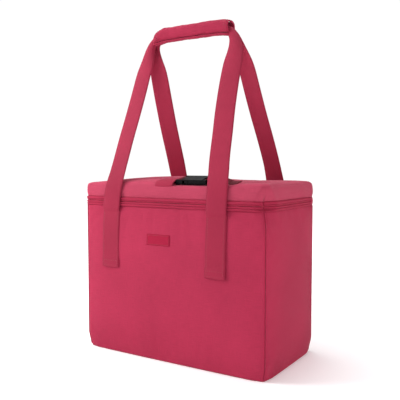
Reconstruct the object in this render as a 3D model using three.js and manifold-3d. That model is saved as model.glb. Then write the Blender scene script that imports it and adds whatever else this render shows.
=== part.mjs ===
// Insulated cooler bag: a soft padded box with a zip-round lid hinged along its back, two carry loops
// joined by a padded grip wrap, and a side-release buckle on a strap along the front of the lid.
// Millimetres, +Z up, front panel towards -Y, origin at the middle of the base.
import * as THREE from "three";
import { mergeVertices } from "three/addons/utils/BufferGeometryUtils.js";
import Module from "manifold-3d";

const wasm = await Module();
wasm.setup();

// ---- Driving dimensions ----
const GAP = 0.3; // running gap between neighbouring pieces
const HALF_WIDTH = 192; // bag outline at its corners
const HALF_DEPTH = 97;
const CORNER_RADIUS = 14;
const FRONT_BOW = 6; // how far each wall bows out at its middle
const BACK_BOW = 4.5;
const SIDE_BOW = 2;
const SEAM_X = 189; // where the front and back panels are sewn to the side panels

const FABRIC = 2; // outer fabric with its backing
const FOAM = 7;
const LINER = 1.2;
const BOARD = 2.4;
const BODY_TOP = 281; // top edge of the four walls
const BINDING = 2; // height of the tape that binds the mouth

const TAPE_FACE = -1; // the zipper tapes stand this far outside the walls
const TAPE_BACK = 1;
const COIL_FACE = -0.6;
const COIL_BACK = 1.4;
const COIL_HEIGHT = 1.1;
const PARTING_Z = 289.2; // middle of the gap between the two coils
const PARTING_GAP = 1.2;
const LID_BASE = 296.3; // lower edge of the lid's band
const TAPE_END_Y = 84; // the zipper ends here and the hinge strip takes over

const LID_EDGE = 320; // lid height at its rim
const LID_CROWN = 9; // how much higher its middle is
const LID_CAVITY = 307.8; // ceiling of the lid's lining
const CROWN_ACROSS = 5; // powers that set how flat the middle is and how steep the rim, along X and Y
const CROWN_ALONG = 3;

const HANDLE_X = -10; // middle of the grip wrap
const WEB_WIDTH = 38;
const WEB_THICK = 2.2;
const SEWN_LOW = 164;
const SEWN_HIGH = 270;
const FRONT_WEB_Y = -102.9; // middle of the sewn webbing's thickness
const BACK_WEB_Y = 101.8;
const FRONT_STAND_OFF = 104.8; // where each loop passes the lid's rim
const BACK_STAND_OFF = 103.4;

const GRIP_Z = 611.5; // middle of the grip wrap
const GRIP_HALF_LENGTH = 83;
const GRIP_HALF_DEPTH = 15;
const GRIP_HALF_HEIGHT = 12.5;
const GRIP_COVER = 1.8;
const GRIP_PAD = 2.5;

const LABEL = { width: 51, height: 20, thick: 0.8, x: -14, z: 222.5 };
const TAB = { x: -6, y: -96, height: 17, thick: 3.2, lift: 2.4, lean: -10 }; // sewn on the lid's front rim

const BUCKLE_PLACE = [46, -79, 329.8];
const BUCKLE_TILT = THREE.MathUtils.degToRad(12); // the buckle lies on the lid's front slope
const BUCKLE_HALF_WIDTH = 17;
const BUCKLE_HALF_THICK = 4.3;
const BUCKLE_END = 31; // each end's distance from the buckle's middle
const STRAP_WIDTH = 25;
const STRAP_THICK = 1.6;

const SLIDER_Y = 70; // parked near the back end of the left side
const PIPING = { radius: 1.4, low: 14 };

// ---- Materials ----
function finish(color, roughness, metalness = 0) {
  return new THREE.MeshStandardMaterial({ color, roughness, metalness });
}
const MATERIALS = {
  shell: finish(0xc93d60, 0.85),
  webbing: finish(0xb8375a, 0.8),
  zipper: finish(0xb2304f, 0.6),
  coil: finish(0xa02a48, 0.45),
  foam: finish(0xe8e8e4, 0.95),
  lining: finish(0xc4c7cb, 0.4),
  board: finish(0x3a3a3c, 0.6),
  label: finish(0xbd2d52, 0.75),
  plastic: finish(0x17181a, 0.4),
  buckle_webbing: finish(0x5c1a2b, 0.8),
  hook_tape: finish(0x202022, 0.95),
  metal: finish(0x8f8f92, 0.35, 0.9),
};

// ---- Geometry helpers ----
function solid(geometry) {
  const bare = geometry.index ? geometry.toNonIndexed() : geometry.clone();
  bare.deleteAttribute("normal");
  bare.deleteAttribute("uv");
  const merged = mergeVertices(bare, 1e-4);
  return new wasm.Manifold(
    new wasm.Mesh({
      numProp: 3,
      vertProperties: merged.attributes.position.array,
      triVerts: new Uint32Array(merged.index.array),
    }),
  );
}

function geometryOf(manifold) {
  const { vertProperties, triVerts } = manifold.getMesh();
  const geometry = new THREE.BufferGeometry();
  geometry.setAttribute("position", new THREE.BufferAttribute(vertProperties, 3));
  geometry.setIndex(new THREE.BufferAttribute(triVerts, 1));
  return geometry;
}

function block([x0, x1], [y0, y1], [z0, z1]) {
  const geometry = new THREE.BoxGeometry(x1 - x0, y1 - y0, z1 - z0);
  return solid(geometry.translate((x0 + x1) / 2, (y0 + y1) / 2, (z0 + z1) / 2));
}

const CURVE_STEPS = 6;

function extrude(shape, z0, z1) {
  const geometry = new THREE.ExtrudeGeometry(shape, {
    depth: z1 - z0,
    bevelEnabled: false,
    curveSegments: CURVE_STEPS,
  });
  return geometry.translate(0, 0, z0);
}

// The bag's plan outline, moved in by offset.
function outline(offset) {
  const w = HALF_WIDTH - offset;
  const d = HALF_DEPTH - offset;
  const r = Math.max(CORNER_RADIUS - offset, 3);
  const shape = new THREE.Shape();
  shape.moveTo(-w + r, -d);
  shape.quadraticCurveTo(0, -d - 2 * FRONT_BOW, w - r, -d);
  shape.absarc(w - r, -d + r, r, -Math.PI / 2, 0, false);
  shape.quadraticCurveTo(w + 2 * SIDE_BOW, 0, w, d - r);
  shape.absarc(w - r, d - r, r, 0, Math.PI / 2, false);
  shape.quadraticCurveTo(0, d + 2 * BACK_BOW, -w + r, d);
  shape.absarc(-w + r, d - r, r, Math.PI / 2, Math.PI, false);
  shape.quadraticCurveTo(-w - 2 * SIDE_BOW, 0, -w, -d + r);
  shape.absarc(-w + r, -d + r, r, Math.PI, Math.PI * 1.5, false);
  return shape;
}

function slab(offset, z0, z1) {
  return solid(extrude(outline(offset), z0, z1));
}

function wall(outer, inner, z0, z1) {
  return slab(outer, z0, z1).subtract(slab(inner, z0 - 1, z1 + 1));
}

const EVERYWHERE = [-500, 500];
const IN_FRONT = [-500, 0];
const BEHIND = [0, 500];
const BETWEEN_SEAMS = [-SEAM_X, SEAM_X];
const LEFT_OF_SEAM = [-500, -SEAM_X - GAP];
const RIGHT_OF_SEAM = [SEAM_X + GAP, 500];

function crownHeight(x, y) {
  const across = 1 - Math.min(Math.abs(x) / (HALF_WIDTH + 1), 1) ** CROWN_ACROSS;
  const along = 1 - Math.min(Math.abs(y) / (HALF_DEPTH + 4), 1) ** CROWN_ALONG;
  return LID_EDGE + LID_CROWN * across * along;
}

// A solid of the plan outline from a flat bottom up to the lid's crowned top, lowered by drop.
function crowned(offset, z0, drop) {
  const geometry = new THREE.BoxGeometry(2 * HALF_WIDTH + 20, 2 * HALF_DEPTH + 30, 1, 24, 14, 1);
  const points = geometry.attributes.position;
  for (let i = 0; i < points.count; i += 1) {
    const top = crownHeight(points.getX(i), points.getY(i)) - drop;
    points.setZ(i, points.getZ(i) > 0 ? top : z0);
  }
  return solid(geometry).intersect(slab(offset, z0 - 1, LID_EDGE + 2 * LID_CROWN));
}

// A flat strip that follows stations { at, width }. Its face turns as little as it can from facing -Y.
function ribbon(stations, thick) {
  const face = new THREE.Vector3(0, -1, 0);
  const last = stations.length - 1;
  const geometry = new THREE.BoxGeometry(1, 1, 1, 1, 1, last);
  const frames = stations.map(({ at, width }, i) => {
    const before = stations[Math.max(i - 1, 0)].at;
    const after = stations[Math.min(i + 1, last)].at;
    const tangent = after.clone().sub(before).normalize();
    const normal = face.clone().addScaledVector(tangent, -face.dot(tangent)).normalize();
    const side = tangent.clone().cross(normal);
    return { at, width, normal, side };
  });
  const points = geometry.attributes.position;
  for (let i = 0; i < points.count; i += 1) {
    const frame = frames[Math.round((points.getZ(i) + 0.5) * last)];
    const corner = frame.at.clone();
    corner.addScaledVector(frame.side, points.getX(i) * frame.width);
    corner.addScaledVector(frame.normal, -points.getY(i) * thick);
    points.setXYZ(i, corner.x, corner.y, corner.z);
  }
  return geometry;
}

function roundedRectangle(halfWidth, halfHeight, radius) {
  const shape = new THREE.Shape();
  shape.moveTo(-halfWidth + radius, -halfHeight);
  shape.lineTo(halfWidth - radius, -halfHeight);
  shape.absarc(halfWidth - radius, -halfHeight + radius, radius, -Math.PI / 2, 0, false);
  shape.lineTo(halfWidth, halfHeight - radius);
  shape.absarc(halfWidth - radius, halfHeight - radius, radius, 0, Math.PI / 2, false);
  shape.lineTo(-halfWidth + radius, halfHeight);
  shape.absarc(-halfWidth + radius, halfHeight - radius, radius, Math.PI / 2, Math.PI, false);
  shape.lineTo(-halfWidth, -halfHeight + radius);
  shape.absarc(-halfWidth + radius, -halfHeight + radius, radius, Math.PI, Math.PI * 1.5, false);
  return shape;
}

const bag = new THREE.Group();

function place(name, shape, material, parent = bag) {
  const geometry = shape.isBufferGeometry ? shape : geometryOf(shape);
  const mesh = new THREE.Mesh(geometry, MATERIALS[material]);
  mesh.name = name;
  parent.add(mesh);
  return mesh;
}

// ---- Outer fabric, board, foam and lining of the body ----
function addBodyShell() {
  place("bottom_panel", slab(0, 0, FABRIC), "shell");
  const walls = wall(0, FABRIC, FABRIC + GAP, BODY_TOP);
  const panel = (xs, ys) => walls.intersect(block(xs, ys, EVERYWHERE));
  place("front_panel", panel(BETWEEN_SEAMS, IN_FRONT), "shell");
  place("back_panel", panel(BETWEEN_SEAMS, BEHIND), "shell");
  place("left_panel", panel(LEFT_OF_SEAM, EVERYWHERE), "shell");
  place("right_panel", panel(RIGHT_OF_SEAM, EVERYWHERE), "shell");
}

const FOAM_FACE = FABRIC + GAP;
const FOAM_BACK = FOAM_FACE + FOAM;
const BOARD_LOW = FABRIC + GAP;
const FLOOR_FOAM_LOW = BOARD_LOW + BOARD + GAP;
const LINER_LOW = FLOOR_FOAM_LOW + FOAM + GAP;
const LINER_FACE = FOAM_BACK + GAP;
const MOUTH_LOW = BODY_TOP + GAP;

function addInsulation() {
  place("base_board", slab(FOAM_FACE, BOARD_LOW, BOARD_LOW + BOARD), "board");
  place("bottom_foam", slab(FOAM_FACE, FLOOR_FOAM_LOW, FLOOR_FOAM_LOW + FOAM), "foam");
  const cut = HALF_WIDTH - FOAM_BACK - 2;
  const walls = wall(FOAM_FACE, FOAM_BACK, LINER_LOW, BODY_TOP);
  const panel = (xs, ys) => walls.intersect(block(xs, ys, EVERYWHERE));
  place("front_foam", panel([-cut, cut], IN_FRONT), "foam");
  place("back_foam", panel([-cut, cut], BEHIND), "foam");
  place("left_foam", panel([-500, -cut - GAP], EVERYWHERE), "foam");
  place("right_foam", panel([cut + GAP, 500], EVERYWHERE), "foam");
  const tub = slab(LINER_FACE, LINER_LOW, BODY_TOP);
  const hollow = slab(LINER_FACE + LINER, LINER_LOW + LINER, BODY_TOP + 1);
  place("liner", tub.subtract(hollow), "lining");
  const binding = wall(TAPE_BACK + GAP, LINER_FACE + LINER, MOUTH_LOW, MOUTH_LOW + BINDING);
  place("mouth_binding", binding, "zipper");
}

function addCornerPiping() {
  const { radius, low } = PIPING;
  const high = BODY_TOP - 1;
  const cornerX = HALF_WIDTH - CORNER_RADIUS;
  const cornerY = HALF_DEPTH - CORNER_RADIUS;
  const turn = Math.acos((SEAM_X - cornerX) / CORNER_RADIUS);
  const reach = CORNER_RADIUS + radius + GAP;
  for (const [side, sx] of [["left", -1], ["right", 1]]) {
    for (const [end, sy] of [["front", -1], ["back", 1]]) {
      const bead = new THREE.CylinderGeometry(radius, radius, high - low, 10);
      const mesh = place(`${end}_${side}_piping`, bead, "shell");
      mesh.rotation.x = Math.PI / 2;
      mesh.position.set(
        sx * (cornerX + reach * Math.cos(turn)),
        sy * (cornerY + reach * Math.sin(turn)),
        (low + high) / 2,
      );
    }
  }
}

// ---- Zipper and lid ----
function addZipper() {
  const threeSides = block(EVERYWHERE, [-500, TAPE_END_Y], EVERYWHERE);
  const lowerCoilTop = PARTING_Z - PARTING_GAP / 2;
  const lowerCoilLow = lowerCoilTop - COIL_HEIGHT;
  const upperCoilLow = PARTING_Z + PARTING_GAP / 2;
  const upperCoilTop = upperCoilLow + COIL_HEIGHT;
  const tapeTop = LID_BASE - GAP;
  const tape = (z0, z1) => wall(TAPE_FACE, TAPE_BACK, z0, z1).intersect(threeSides);
  const coil = (z0, z1) => wall(COIL_FACE, COIL_BACK, z0, z1).intersect(threeSides);
  place("lower_zipper_tape", tape(MOUTH_LOW, lowerCoilLow - GAP), "zipper");
  place("lower_zipper_coil", coil(lowerCoilLow, lowerCoilTop), "coil");
  place("upper_zipper_coil", coil(upperCoilLow, upperCoilTop), "coil");
  place("upper_zipper_tape", tape(upperCoilTop + GAP, tapeTop), "zipper");
  const back = block(EVERYWHERE, [TAPE_END_Y + GAP, 500], EVERYWHERE);
  const strip = wall(TAPE_FACE, TAPE_BACK, MOUTH_LOW, tapeTop).intersect(back);
  place("lid_hinge_strip", strip, "shell");
}

function addLid() {
  const inside = FABRIC + GAP;
  const cover = crowned(0, LID_BASE, 0).subtract(crowned(FABRIC, LID_BASE - 5, FABRIC));
  place("lid_cover", cover, "shell");
  place("lid_foam", crowned(inside, LID_CAVITY + LINER + GAP, inside), "foam");
  const tray = slab(inside, LID_BASE + GAP, LID_CAVITY + LINER);
  place("lid_liner", tray.subtract(slab(inside + LINER, LID_BASE - 1, LID_CAVITY)), "lining");
  const tab = place("lid_tab", new THREE.BoxGeometry(WEB_WIDTH, TAB.thick, TAB.height), "webbing");
  tab.position.set(TAB.x, TAB.y, LID_EDGE + TAB.lift + TAB.height / 2);
  tab.rotation.x = THREE.MathUtils.degToRad(TAB.lean);
}

// The slider's two plates hold the coils, a thin web between them runs in the parting gap, and a bridge
// on the outer plate holds the pull.
function addSlider() {
  const group = new THREE.Group();
  group.position.set(0, SLIDER_Y, PARTING_Z);
  bag.add(group);
  const outerPlate = block([-197, -195.4], [-7, 7], [-4.6, 4.6]);
  const innerPlate = block([-190, -188.6], [-7, 7], [-4.6, 4.6]);
  const web = block([-196, -189], [-3, 3], [-0.3, 0.3]);
  const bridge = block([-200.7, -199.4], [-5.5, 5.5], [-1.5, 1.5]);
  const frontLeg = block([-200, -196], [-5.5, -4], [-1.5, 1.5]);
  const backLeg = block([-200, -196], [4, 5.5], [-1.5, 1.5]);
  const slider = outerPlate.add(innerPlate).add(web).add(bridge).add(frontLeg).add(backLeg);
  place("zipper_slider", slider, "metal", group);

  const pull = block([-198.95, -197.35], [-30, 0.8], [-4, 4]);
  const window = block([-200, -196], [-7.2, -0.8], [-2.2, 2.2]);
  const grip = block([-200, -196], [-26, -16], [-2, 2]);
  place("zipper_pull", pull.subtract(window).subtract(grip), "metal", group);
}

// ---- Carry loops ----
// Heights of each leg's nodes, from its fold up to the grip, with the webbing's width there: it narrows
// as it gathers under the wrap.
const LEG_HEIGHTS = [
  SEWN_HIGH + GAP, BODY_TOP, LID_EDGE + 1, 370, 450, 540, 575, 591, 603, 609.5, GRIP_Z, GRIP_Z,
];
const LEG_WIDTHS = [38, 38, 38, 38, 38, 38, 31, 22, 15, 13, 13, 13];
// The same nodes' places along X, leg by leg: the loops hang a little unevenly.
const LEGS = {
  front: {
    left: [-125.5, -125.5, -125.5, -118, -107.5, -104, -105, -105, -103, -98.5, -89.5, -75.5],
    right: [106, 106, 106, 97, 92.5, 91, 91, 87, 83, 78.5, 69.5, 55.5],
  },
  back: {
    left: [-116, -116, -116, -115, -113, -110, -107, -105, -103, -98.5, -89.5, -75.5],
    right: [114.5, 114.5, 114.5, 114, 103, 91, 91, 87, 83, 78.5, 69.5, 55.5],
  },
};
const STEPS_PER_SPAN = 3;

// The nodes' distances from the bag's middle plane.
function legDepths(webY, standOff) {
  const leaning = [standOff, standOff, standOff - 17, standOff - 44, standOff - 75];
  return [Math.abs(webY), ...leaning, 14, 8.5, 5.2, 3.7, 3.4, 3.4];
}

function addCarryLoop(end, facing, webY, standOff) {
  const depths = legDepths(webY, standOff);
  const leg = (xs) => xs.map((x, i) => [x, facing * depths[i], LEG_HEIGHTS[i], LEG_WIDTHS[i]]);
  const nodes = [...leg(LEGS[end].left), ...leg(LEGS[end].right).reverse()];
  const points = nodes.map(([x, y, z]) => new THREE.Vector3(x, y, z));
  const curve = new THREE.CatmullRomCurve3(points, false, "centripetal");
  const steps = STEPS_PER_SPAN * (nodes.length - 1);
  const stations = [];
  for (let i = 0; i <= steps; i += 1) {
    const reach = i / STEPS_PER_SPAN;
    const low = Math.min(Math.floor(reach), nodes.length - 2);
    const width = THREE.MathUtils.lerp(nodes[low][3], nodes[low + 1][3], reach - low);
    stations.push({ at: curve.getPoint(i / steps), width });
  }
  place(`${end}_handle_webbing`, ribbon(stations, WEB_THICK), "webbing");
  for (const side of ["left", "right"]) {
    const sewn = new THREE.BoxGeometry(WEB_WIDTH, WEB_THICK, SEWN_HIGH - SEWN_LOW);
    const mesh = place(`${end}_handle_sewn_${side}`, sewn, "webbing");
    mesh.position.set(LEGS[end][side][0], webY, (SEWN_LOW + SEWN_HIGH) / 2);
  }
}

// The grip wrap: sections in Y and Z, run along X. The cover holds the front loop; the padded flap closes
// round the back loop and is fixed under the cover with hook and loop tape.
function gripRun(section) {
  const turn = new THREE.Matrix4().set(0, 0, 1, 0, 1, 0, 0, 0, 0, 1, 0, 0, 0, 0, 0, 1);
  const run = extrude(section, -GRIP_HALF_LENGTH, GRIP_HALF_LENGTH).applyMatrix4(turn);
  return solid(run);
}

function gripSleeve(inset, thickness) {
  const section = (depth) =>
    roundedRectangle(GRIP_HALF_DEPTH - depth, GRIP_HALF_HEIGHT - depth, 10 - depth);
  return gripRun(section(inset)).subtract(gripRun(section(inset + thickness)));
}

function addGripWrap() {
  const group = new THREE.Group();
  group.position.set(HANDLE_X, 0, GRIP_Z);
  bag.add(group);
  const along = [-GRIP_HALF_LENGTH, GRIP_HALF_LENGTH];
  const frontHalf = block(EVERYWHERE, [-500, -GAP / 2], EVERYWHERE);
  const backHalf = block(EVERYWHERE, [GAP / 2, 500], EVERYWHERE);
  place("grip_cover", gripSleeve(0, GRIP_COVER).intersect(frontHalf), "shell", group);
  const pad = gripSleeve(GRIP_COVER + GAP, GRIP_PAD - GAP).intersect(frontHalf);
  place("grip_pad", pad, "foam", group);
  const padded = gripSleeve(0, GRIP_COVER + GRIP_PAD).intersect(backHalf);
  const root = block(along, [GAP / 2, 6], [-16.2, -11.6]);
  const tongue = block(along, [-11, 6], [-16.2, -14.7]);
  place("grip_flap", padded.add(root).add(tongue), "shell", group);
  const tapeLength = [-GRIP_HALF_LENGTH + 4, GRIP_HALF_LENGTH - 4];
  place("grip_loop_tape", block(tapeLength, [-10.5, -1.5], [-13.5, -12.8]), "hook_tape", group);
  place("grip_hook_tape", block(tapeLength, [-10.5, -1.5], [-14.4, -13.8]), "hook_tape", group);
}

function addLabel() {
  const { width, thick, height } = LABEL;
  const label = place("front_label", new THREE.BoxGeometry(width, thick, height), "label");
  const faceY = -HALF_DEPTH - FRONT_BOW - GAP - thick / 2;
  label.position.set(LABEL.x, faceY, LABEL.z);
}

// ---- Buckle: built along X about its own middle, thickness along Z ----
function plan(points) {
  return new THREE.Shape(points.map(([x, y]) => new THREE.Vector2(x, y)));
}

// A strap whose width runs along Y and whose path bends through [x, z] points.
function strapAlong(path) {
  const across = new THREE.Vector3(0, 1, 0);
  const stations = path.map(([x, z]) => new THREE.Vector3(x, 0, z));
  const last = stations.length - 1;
  const geometry = new THREE.BoxGeometry(1, 1, 1, 1, 1, last);
  const points = geometry.attributes.position;
  for (let i = 0; i < points.count; i += 1) {
    const k = Math.round((points.getZ(i) + 0.5) * last);
    const before = stations[Math.max(k - 1, 0)];
    const after = stations[Math.min(k + 1, last)];
    const normal = after.clone().sub(before).normalize().cross(across);
    const corner = stations[k].clone();
    corner.addScaledVector(across, points.getX(i) * STRAP_WIDTH);
    corner.addScaledVector(normal, points.getY(i) * STRAP_THICK);
    points.setXYZ(i, corner.x, corner.y, corner.z);
  }
  return geometry;
}

function addBuckle() {
  const group = new THREE.Group();
  group.position.set(...BUCKLE_PLACE);
  group.rotation.x = BUCKLE_TILT;
  bag.add(group);
  const w = BUCKLE_HALF_WIDTH;
  const t = BUCKLE_HALF_THICK;
  const slotHalf = 13.4;
  const barThick = 2.4;

  const barRelief = (x0, x1) => {
    const above = block([x0, x1], [-slotHalf, slotHalf], [barThick, t + 1]);
    return above.add(block([x0, x1], [-slotHalf, slotHalf], [-t - 1, -barThick]));
  };
  const through = (x0, x1, half) => block([x0, x1], [-half, half], [-t - 1, t + 1]);

  const socketEnd = 4.9;
  const socket = block([-BUCKLE_END, socketEnd], [-w, w], [-t, t])
    .subtract(block([-19.5, socketEnd + 1], [-13.7, 13.7], [-2.8, 2.8]))
    .subtract(block([-17.6, -4.5], [-w - 1, w + 1], [-2.8, 2.8]))
    .subtract(through(-28.2, -21.8, slotHalf))
    .subtract(barRelief(-BUCKLE_END - 1, -28));
  place("buckle_socket", socket, "plastic", group);

  const plugFace = socketEnd + 0.5;
  const plug = block([plugFace, BUCKLE_END], [-w, w], [-t, t])
    .subtract(through(21.8, 28.2, slotHalf))
    .subtract(barRelief(28, BUCKLE_END + 1))
    .add(block([-16, plugFace + 1], [-2.5, 2.5], [-2, 2]));
  place("buckle_plug", plug, "plastic", group);

  const prong = [
    [5, 7.6], [5, 11], [-4, 12.4], [-4.9, 13], [-4.9, 16], [-8, 17.3],
    [-13, 16.6], [-16.6, 13], [-17, 10.6], [-8, 9.6],
  ];
  const prongHalf = 2.3;
  const front = prong.map(([x, y]) => [x, -y]).reverse();
  place("buckle_prong_front", extrude(plan(front), -prongHalf, prongHalf), "plastic", group);
  place("buckle_prong_back", extrude(plan(prong), -prongHalf, prongHalf), "plastic", group);

  const shortStrap = [
    [-52, -3.6], [-40, -3.6], [-27.5, -3.6], [-25, -1.8], [-25, 1.8], [-27.5, 3.6],
    [-33, 3], [-39, -1], [-52, -1.6],
  ];
  const longStrap = [
    [86, -3.7], [72, -3.5], [62, 0.2], [50, 3.6], [38, 4.8], [31, 3.9], [27.5, 3.6],
    [25, 1.8], [25, -1.8], [27.5, -3.6], [34, -3.7], [56, -3.7],
  ];
  place("buckle_short_strap", strapAlong(shortStrap), "buckle_webbing", group);
  place("buckle_long_strap", strapAlong(longStrap), "buckle_webbing", group);
}

addBodyShell();
addInsulation();
addCornerPiping();
addZipper();
addLid();
addSlider();
addCarryLoop("front", -1, FRONT_WEB_Y, FRONT_STAND_OFF);
addCarryLoop("back", 1, BACK_WEB_Y, BACK_STAND_OFF);
addGripWrap();
addLabel();
addBuckle();

export default bag;
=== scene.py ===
# Looks for an insulated cooler bag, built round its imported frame. Metres, +Z up, front panel towards -Y.
import math

import bmesh
import bpy
import numpy as np
from mathutils import Euler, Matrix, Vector, noise
from mathutils.bvhtree import BVHTree


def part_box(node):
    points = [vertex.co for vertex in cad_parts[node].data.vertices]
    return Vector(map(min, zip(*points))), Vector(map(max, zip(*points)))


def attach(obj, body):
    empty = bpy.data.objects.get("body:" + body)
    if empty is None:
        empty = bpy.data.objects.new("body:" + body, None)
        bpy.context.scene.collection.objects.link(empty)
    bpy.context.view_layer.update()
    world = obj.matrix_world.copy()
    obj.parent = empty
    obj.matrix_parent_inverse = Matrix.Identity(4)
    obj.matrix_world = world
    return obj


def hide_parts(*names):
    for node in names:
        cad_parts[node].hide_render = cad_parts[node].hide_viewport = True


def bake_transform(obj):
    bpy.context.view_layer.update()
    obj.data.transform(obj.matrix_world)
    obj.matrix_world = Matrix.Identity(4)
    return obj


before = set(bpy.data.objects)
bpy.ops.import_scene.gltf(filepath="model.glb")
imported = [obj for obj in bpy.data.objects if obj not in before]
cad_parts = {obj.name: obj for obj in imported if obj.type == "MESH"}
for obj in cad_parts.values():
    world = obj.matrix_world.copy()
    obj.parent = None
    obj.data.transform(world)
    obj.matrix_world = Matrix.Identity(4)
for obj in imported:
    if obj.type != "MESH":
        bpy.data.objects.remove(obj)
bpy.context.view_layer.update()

MM = 0.001


def low(node):
    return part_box(node)[0]


def high(node):
    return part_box(node)[1]


# ---- Sizes taken from the frame ----
FRAME_BOW = 6 * MM  # bows of the frame's walls
FRAME_SIDE_BOW = 2 * MM
PADDING = 3.5 * MM  # the padded corners stand out from the frame's by this much
HALF_WIDTH = high("right_panel").x - FRAME_SIDE_BOW + PADDING
FRONT = low("front_panel").y + FRAME_BOW - PADDING - 1 * MM
BACK = high("back_panel").y + PADDING - 0.5 * MM
HALF_DEPTH = (BACK - FRONT) / 2
CENTRE_Y = (BACK + FRONT) / 2
FRONT_BOW = 4.2 * MM  # how far each padded wall bows out
BACK_BOW = 1.5 * MM
SIDE_BOW = 1.5 * MM
CORNER = 12 * MM
CORNER_X = HALF_WIDTH - CORNER
CORNER_Y = HALF_DEPTH - CORNER
BODY_TOP = high("front_panel").z
LID_BASE = low("lid_cover").z
LID_EDGE = LID_BASE + 23.7 * MM
PARTING = (high("lower_zipper_coil").z + low("upper_zipper_coil").z) / 2
TAPE_END = high("lower_zipper_tape").y
FLOOR = high("bottom_foam").z + 1.5 * MM

# ---- Sizes of the sewn details ----
CLOTH = 1.8 * MM
FOOT_RADIUS = 5 * MM  # rounding under the walls
SLIDER_OUT = 3.5 * MM  # the slider and its pull stand on the padded wall
PULL_OUT = 2 * MM
SEAM_SHARE = 0.575  # where on a corner's arc the front and back panels meet the side panels
SEAM_DIP = 0.9 * MM
SEAM_REACH = 4.5 * MM
STEP = 4.5 * MM
STITCH_LENGTH = 3.2 * MM
STITCH_PITCH = 4.4 * MM
SETTLE_FRAMES = 22  # steps of the cloth simulation
BUCKLE_AT = (46 * MM, -79 * MM, 329.8 * MM)
BUCKLE_TILT = math.radians(12)


def smooth(t):
    t = np.clip(t, 0, 1)
    return t * t * (3 - 2 * t)


# ---- Camera, light and floor ----
CAMERA_AT = (0.59695, -0.93745, 0.3550)
CAMERA_TURN = math.radians(32.255)
CAMERA_DOWN = math.radians(3.383)
CAMERA_LENS = 52.05
WORLD_LIGHT = 0.41  # what the surroundings light the bag with; the camera sees them white
WORLD_SEEN = 1.02
LIGHTS = (  # name, place, size, power, color
    ("key", (-1.1, -0.7, 0.95), 0.7, 21, (1, 1, 1)),
    ("fill", (1.8, -0.6, 0.9), 1.2, 12, (1, 0.8, 0.84)),
    ("top", (-0.2, 0.2, 2.0), 1.2, 22, (1, 1, 1)),
)
LIT_POINT = Vector((0, 0, 0.2))
FLOOR_HALF = 6.0
FLOOR_COLOR = (0.93, 0.93, 0.935, 1)
FLOOR_GLOW = (("From Min", 0.4), ("From Max", 1.6), ("To Min", 0.20), ("To Max", 0.75))


def make_camera():
    data = bpy.data.cameras.new("camera")
    data.lens = CAMERA_LENS
    data.sensor_width = 36
    camera = bpy.data.objects.new("camera", data)
    camera.location = CAMERA_AT
    camera.rotation_euler = Euler((math.pi / 2 - CAMERA_DOWN, 0, CAMERA_TURN))
    bpy.context.scene.collection.objects.link(camera)
    bpy.context.scene.camera = camera


def area_light(name, at, size, power, color):
    data = bpy.data.lights.new(name, "AREA")
    data.shape = "DISK"
    data.size = size
    data.energy = power
    data.color = color
    light = bpy.data.objects.new(name, data)
    light.location = at
    light.rotation_euler = (LIT_POINT - Vector(at)).to_track_quat("-Z", "Y").to_euler()
    bpy.context.scene.collection.objects.link(light)


def make_studio():
    scene = bpy.context.scene
    scene.view_settings.view_transform = "Standard"
    world = bpy.data.worlds.new("studio")
    world.use_nodes = True
    background = world.node_tree.nodes["Background"]
    background.inputs["Color"].default_value = (1, 1, 1, 1)
    links = world.node_tree.links
    seen = world.node_tree.nodes.new("ShaderNodeLightPath").outputs["Is Camera Ray"]
    strength = world.node_tree.nodes.new("ShaderNodeMapRange")
    strength.inputs["To Min"].default_value = WORLD_LIGHT
    strength.inputs["To Max"].default_value = WORLD_SEEN
    links.new(seen, strength.inputs["Value"])
    links.new(strength.outputs[0], background.inputs["Strength"])
    scene.world = world
    for light in LIGHTS:
        area_light(*light)
    mesh = bpy.data.meshes.new("floor")
    corners = [(x * FLOOR_HALF, y * FLOOR_HALF, 0) for x, y in ((-1, -1), (1, -1), (1, 1), (-1, 1))]
    mesh.from_pydata(corners, [], [(0, 1, 2, 3)])
    floor = bpy.data.objects.new("floor", mesh)
    scene.collection.objects.link(floor)
    mesh.materials.append(make_backdrop())


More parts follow.
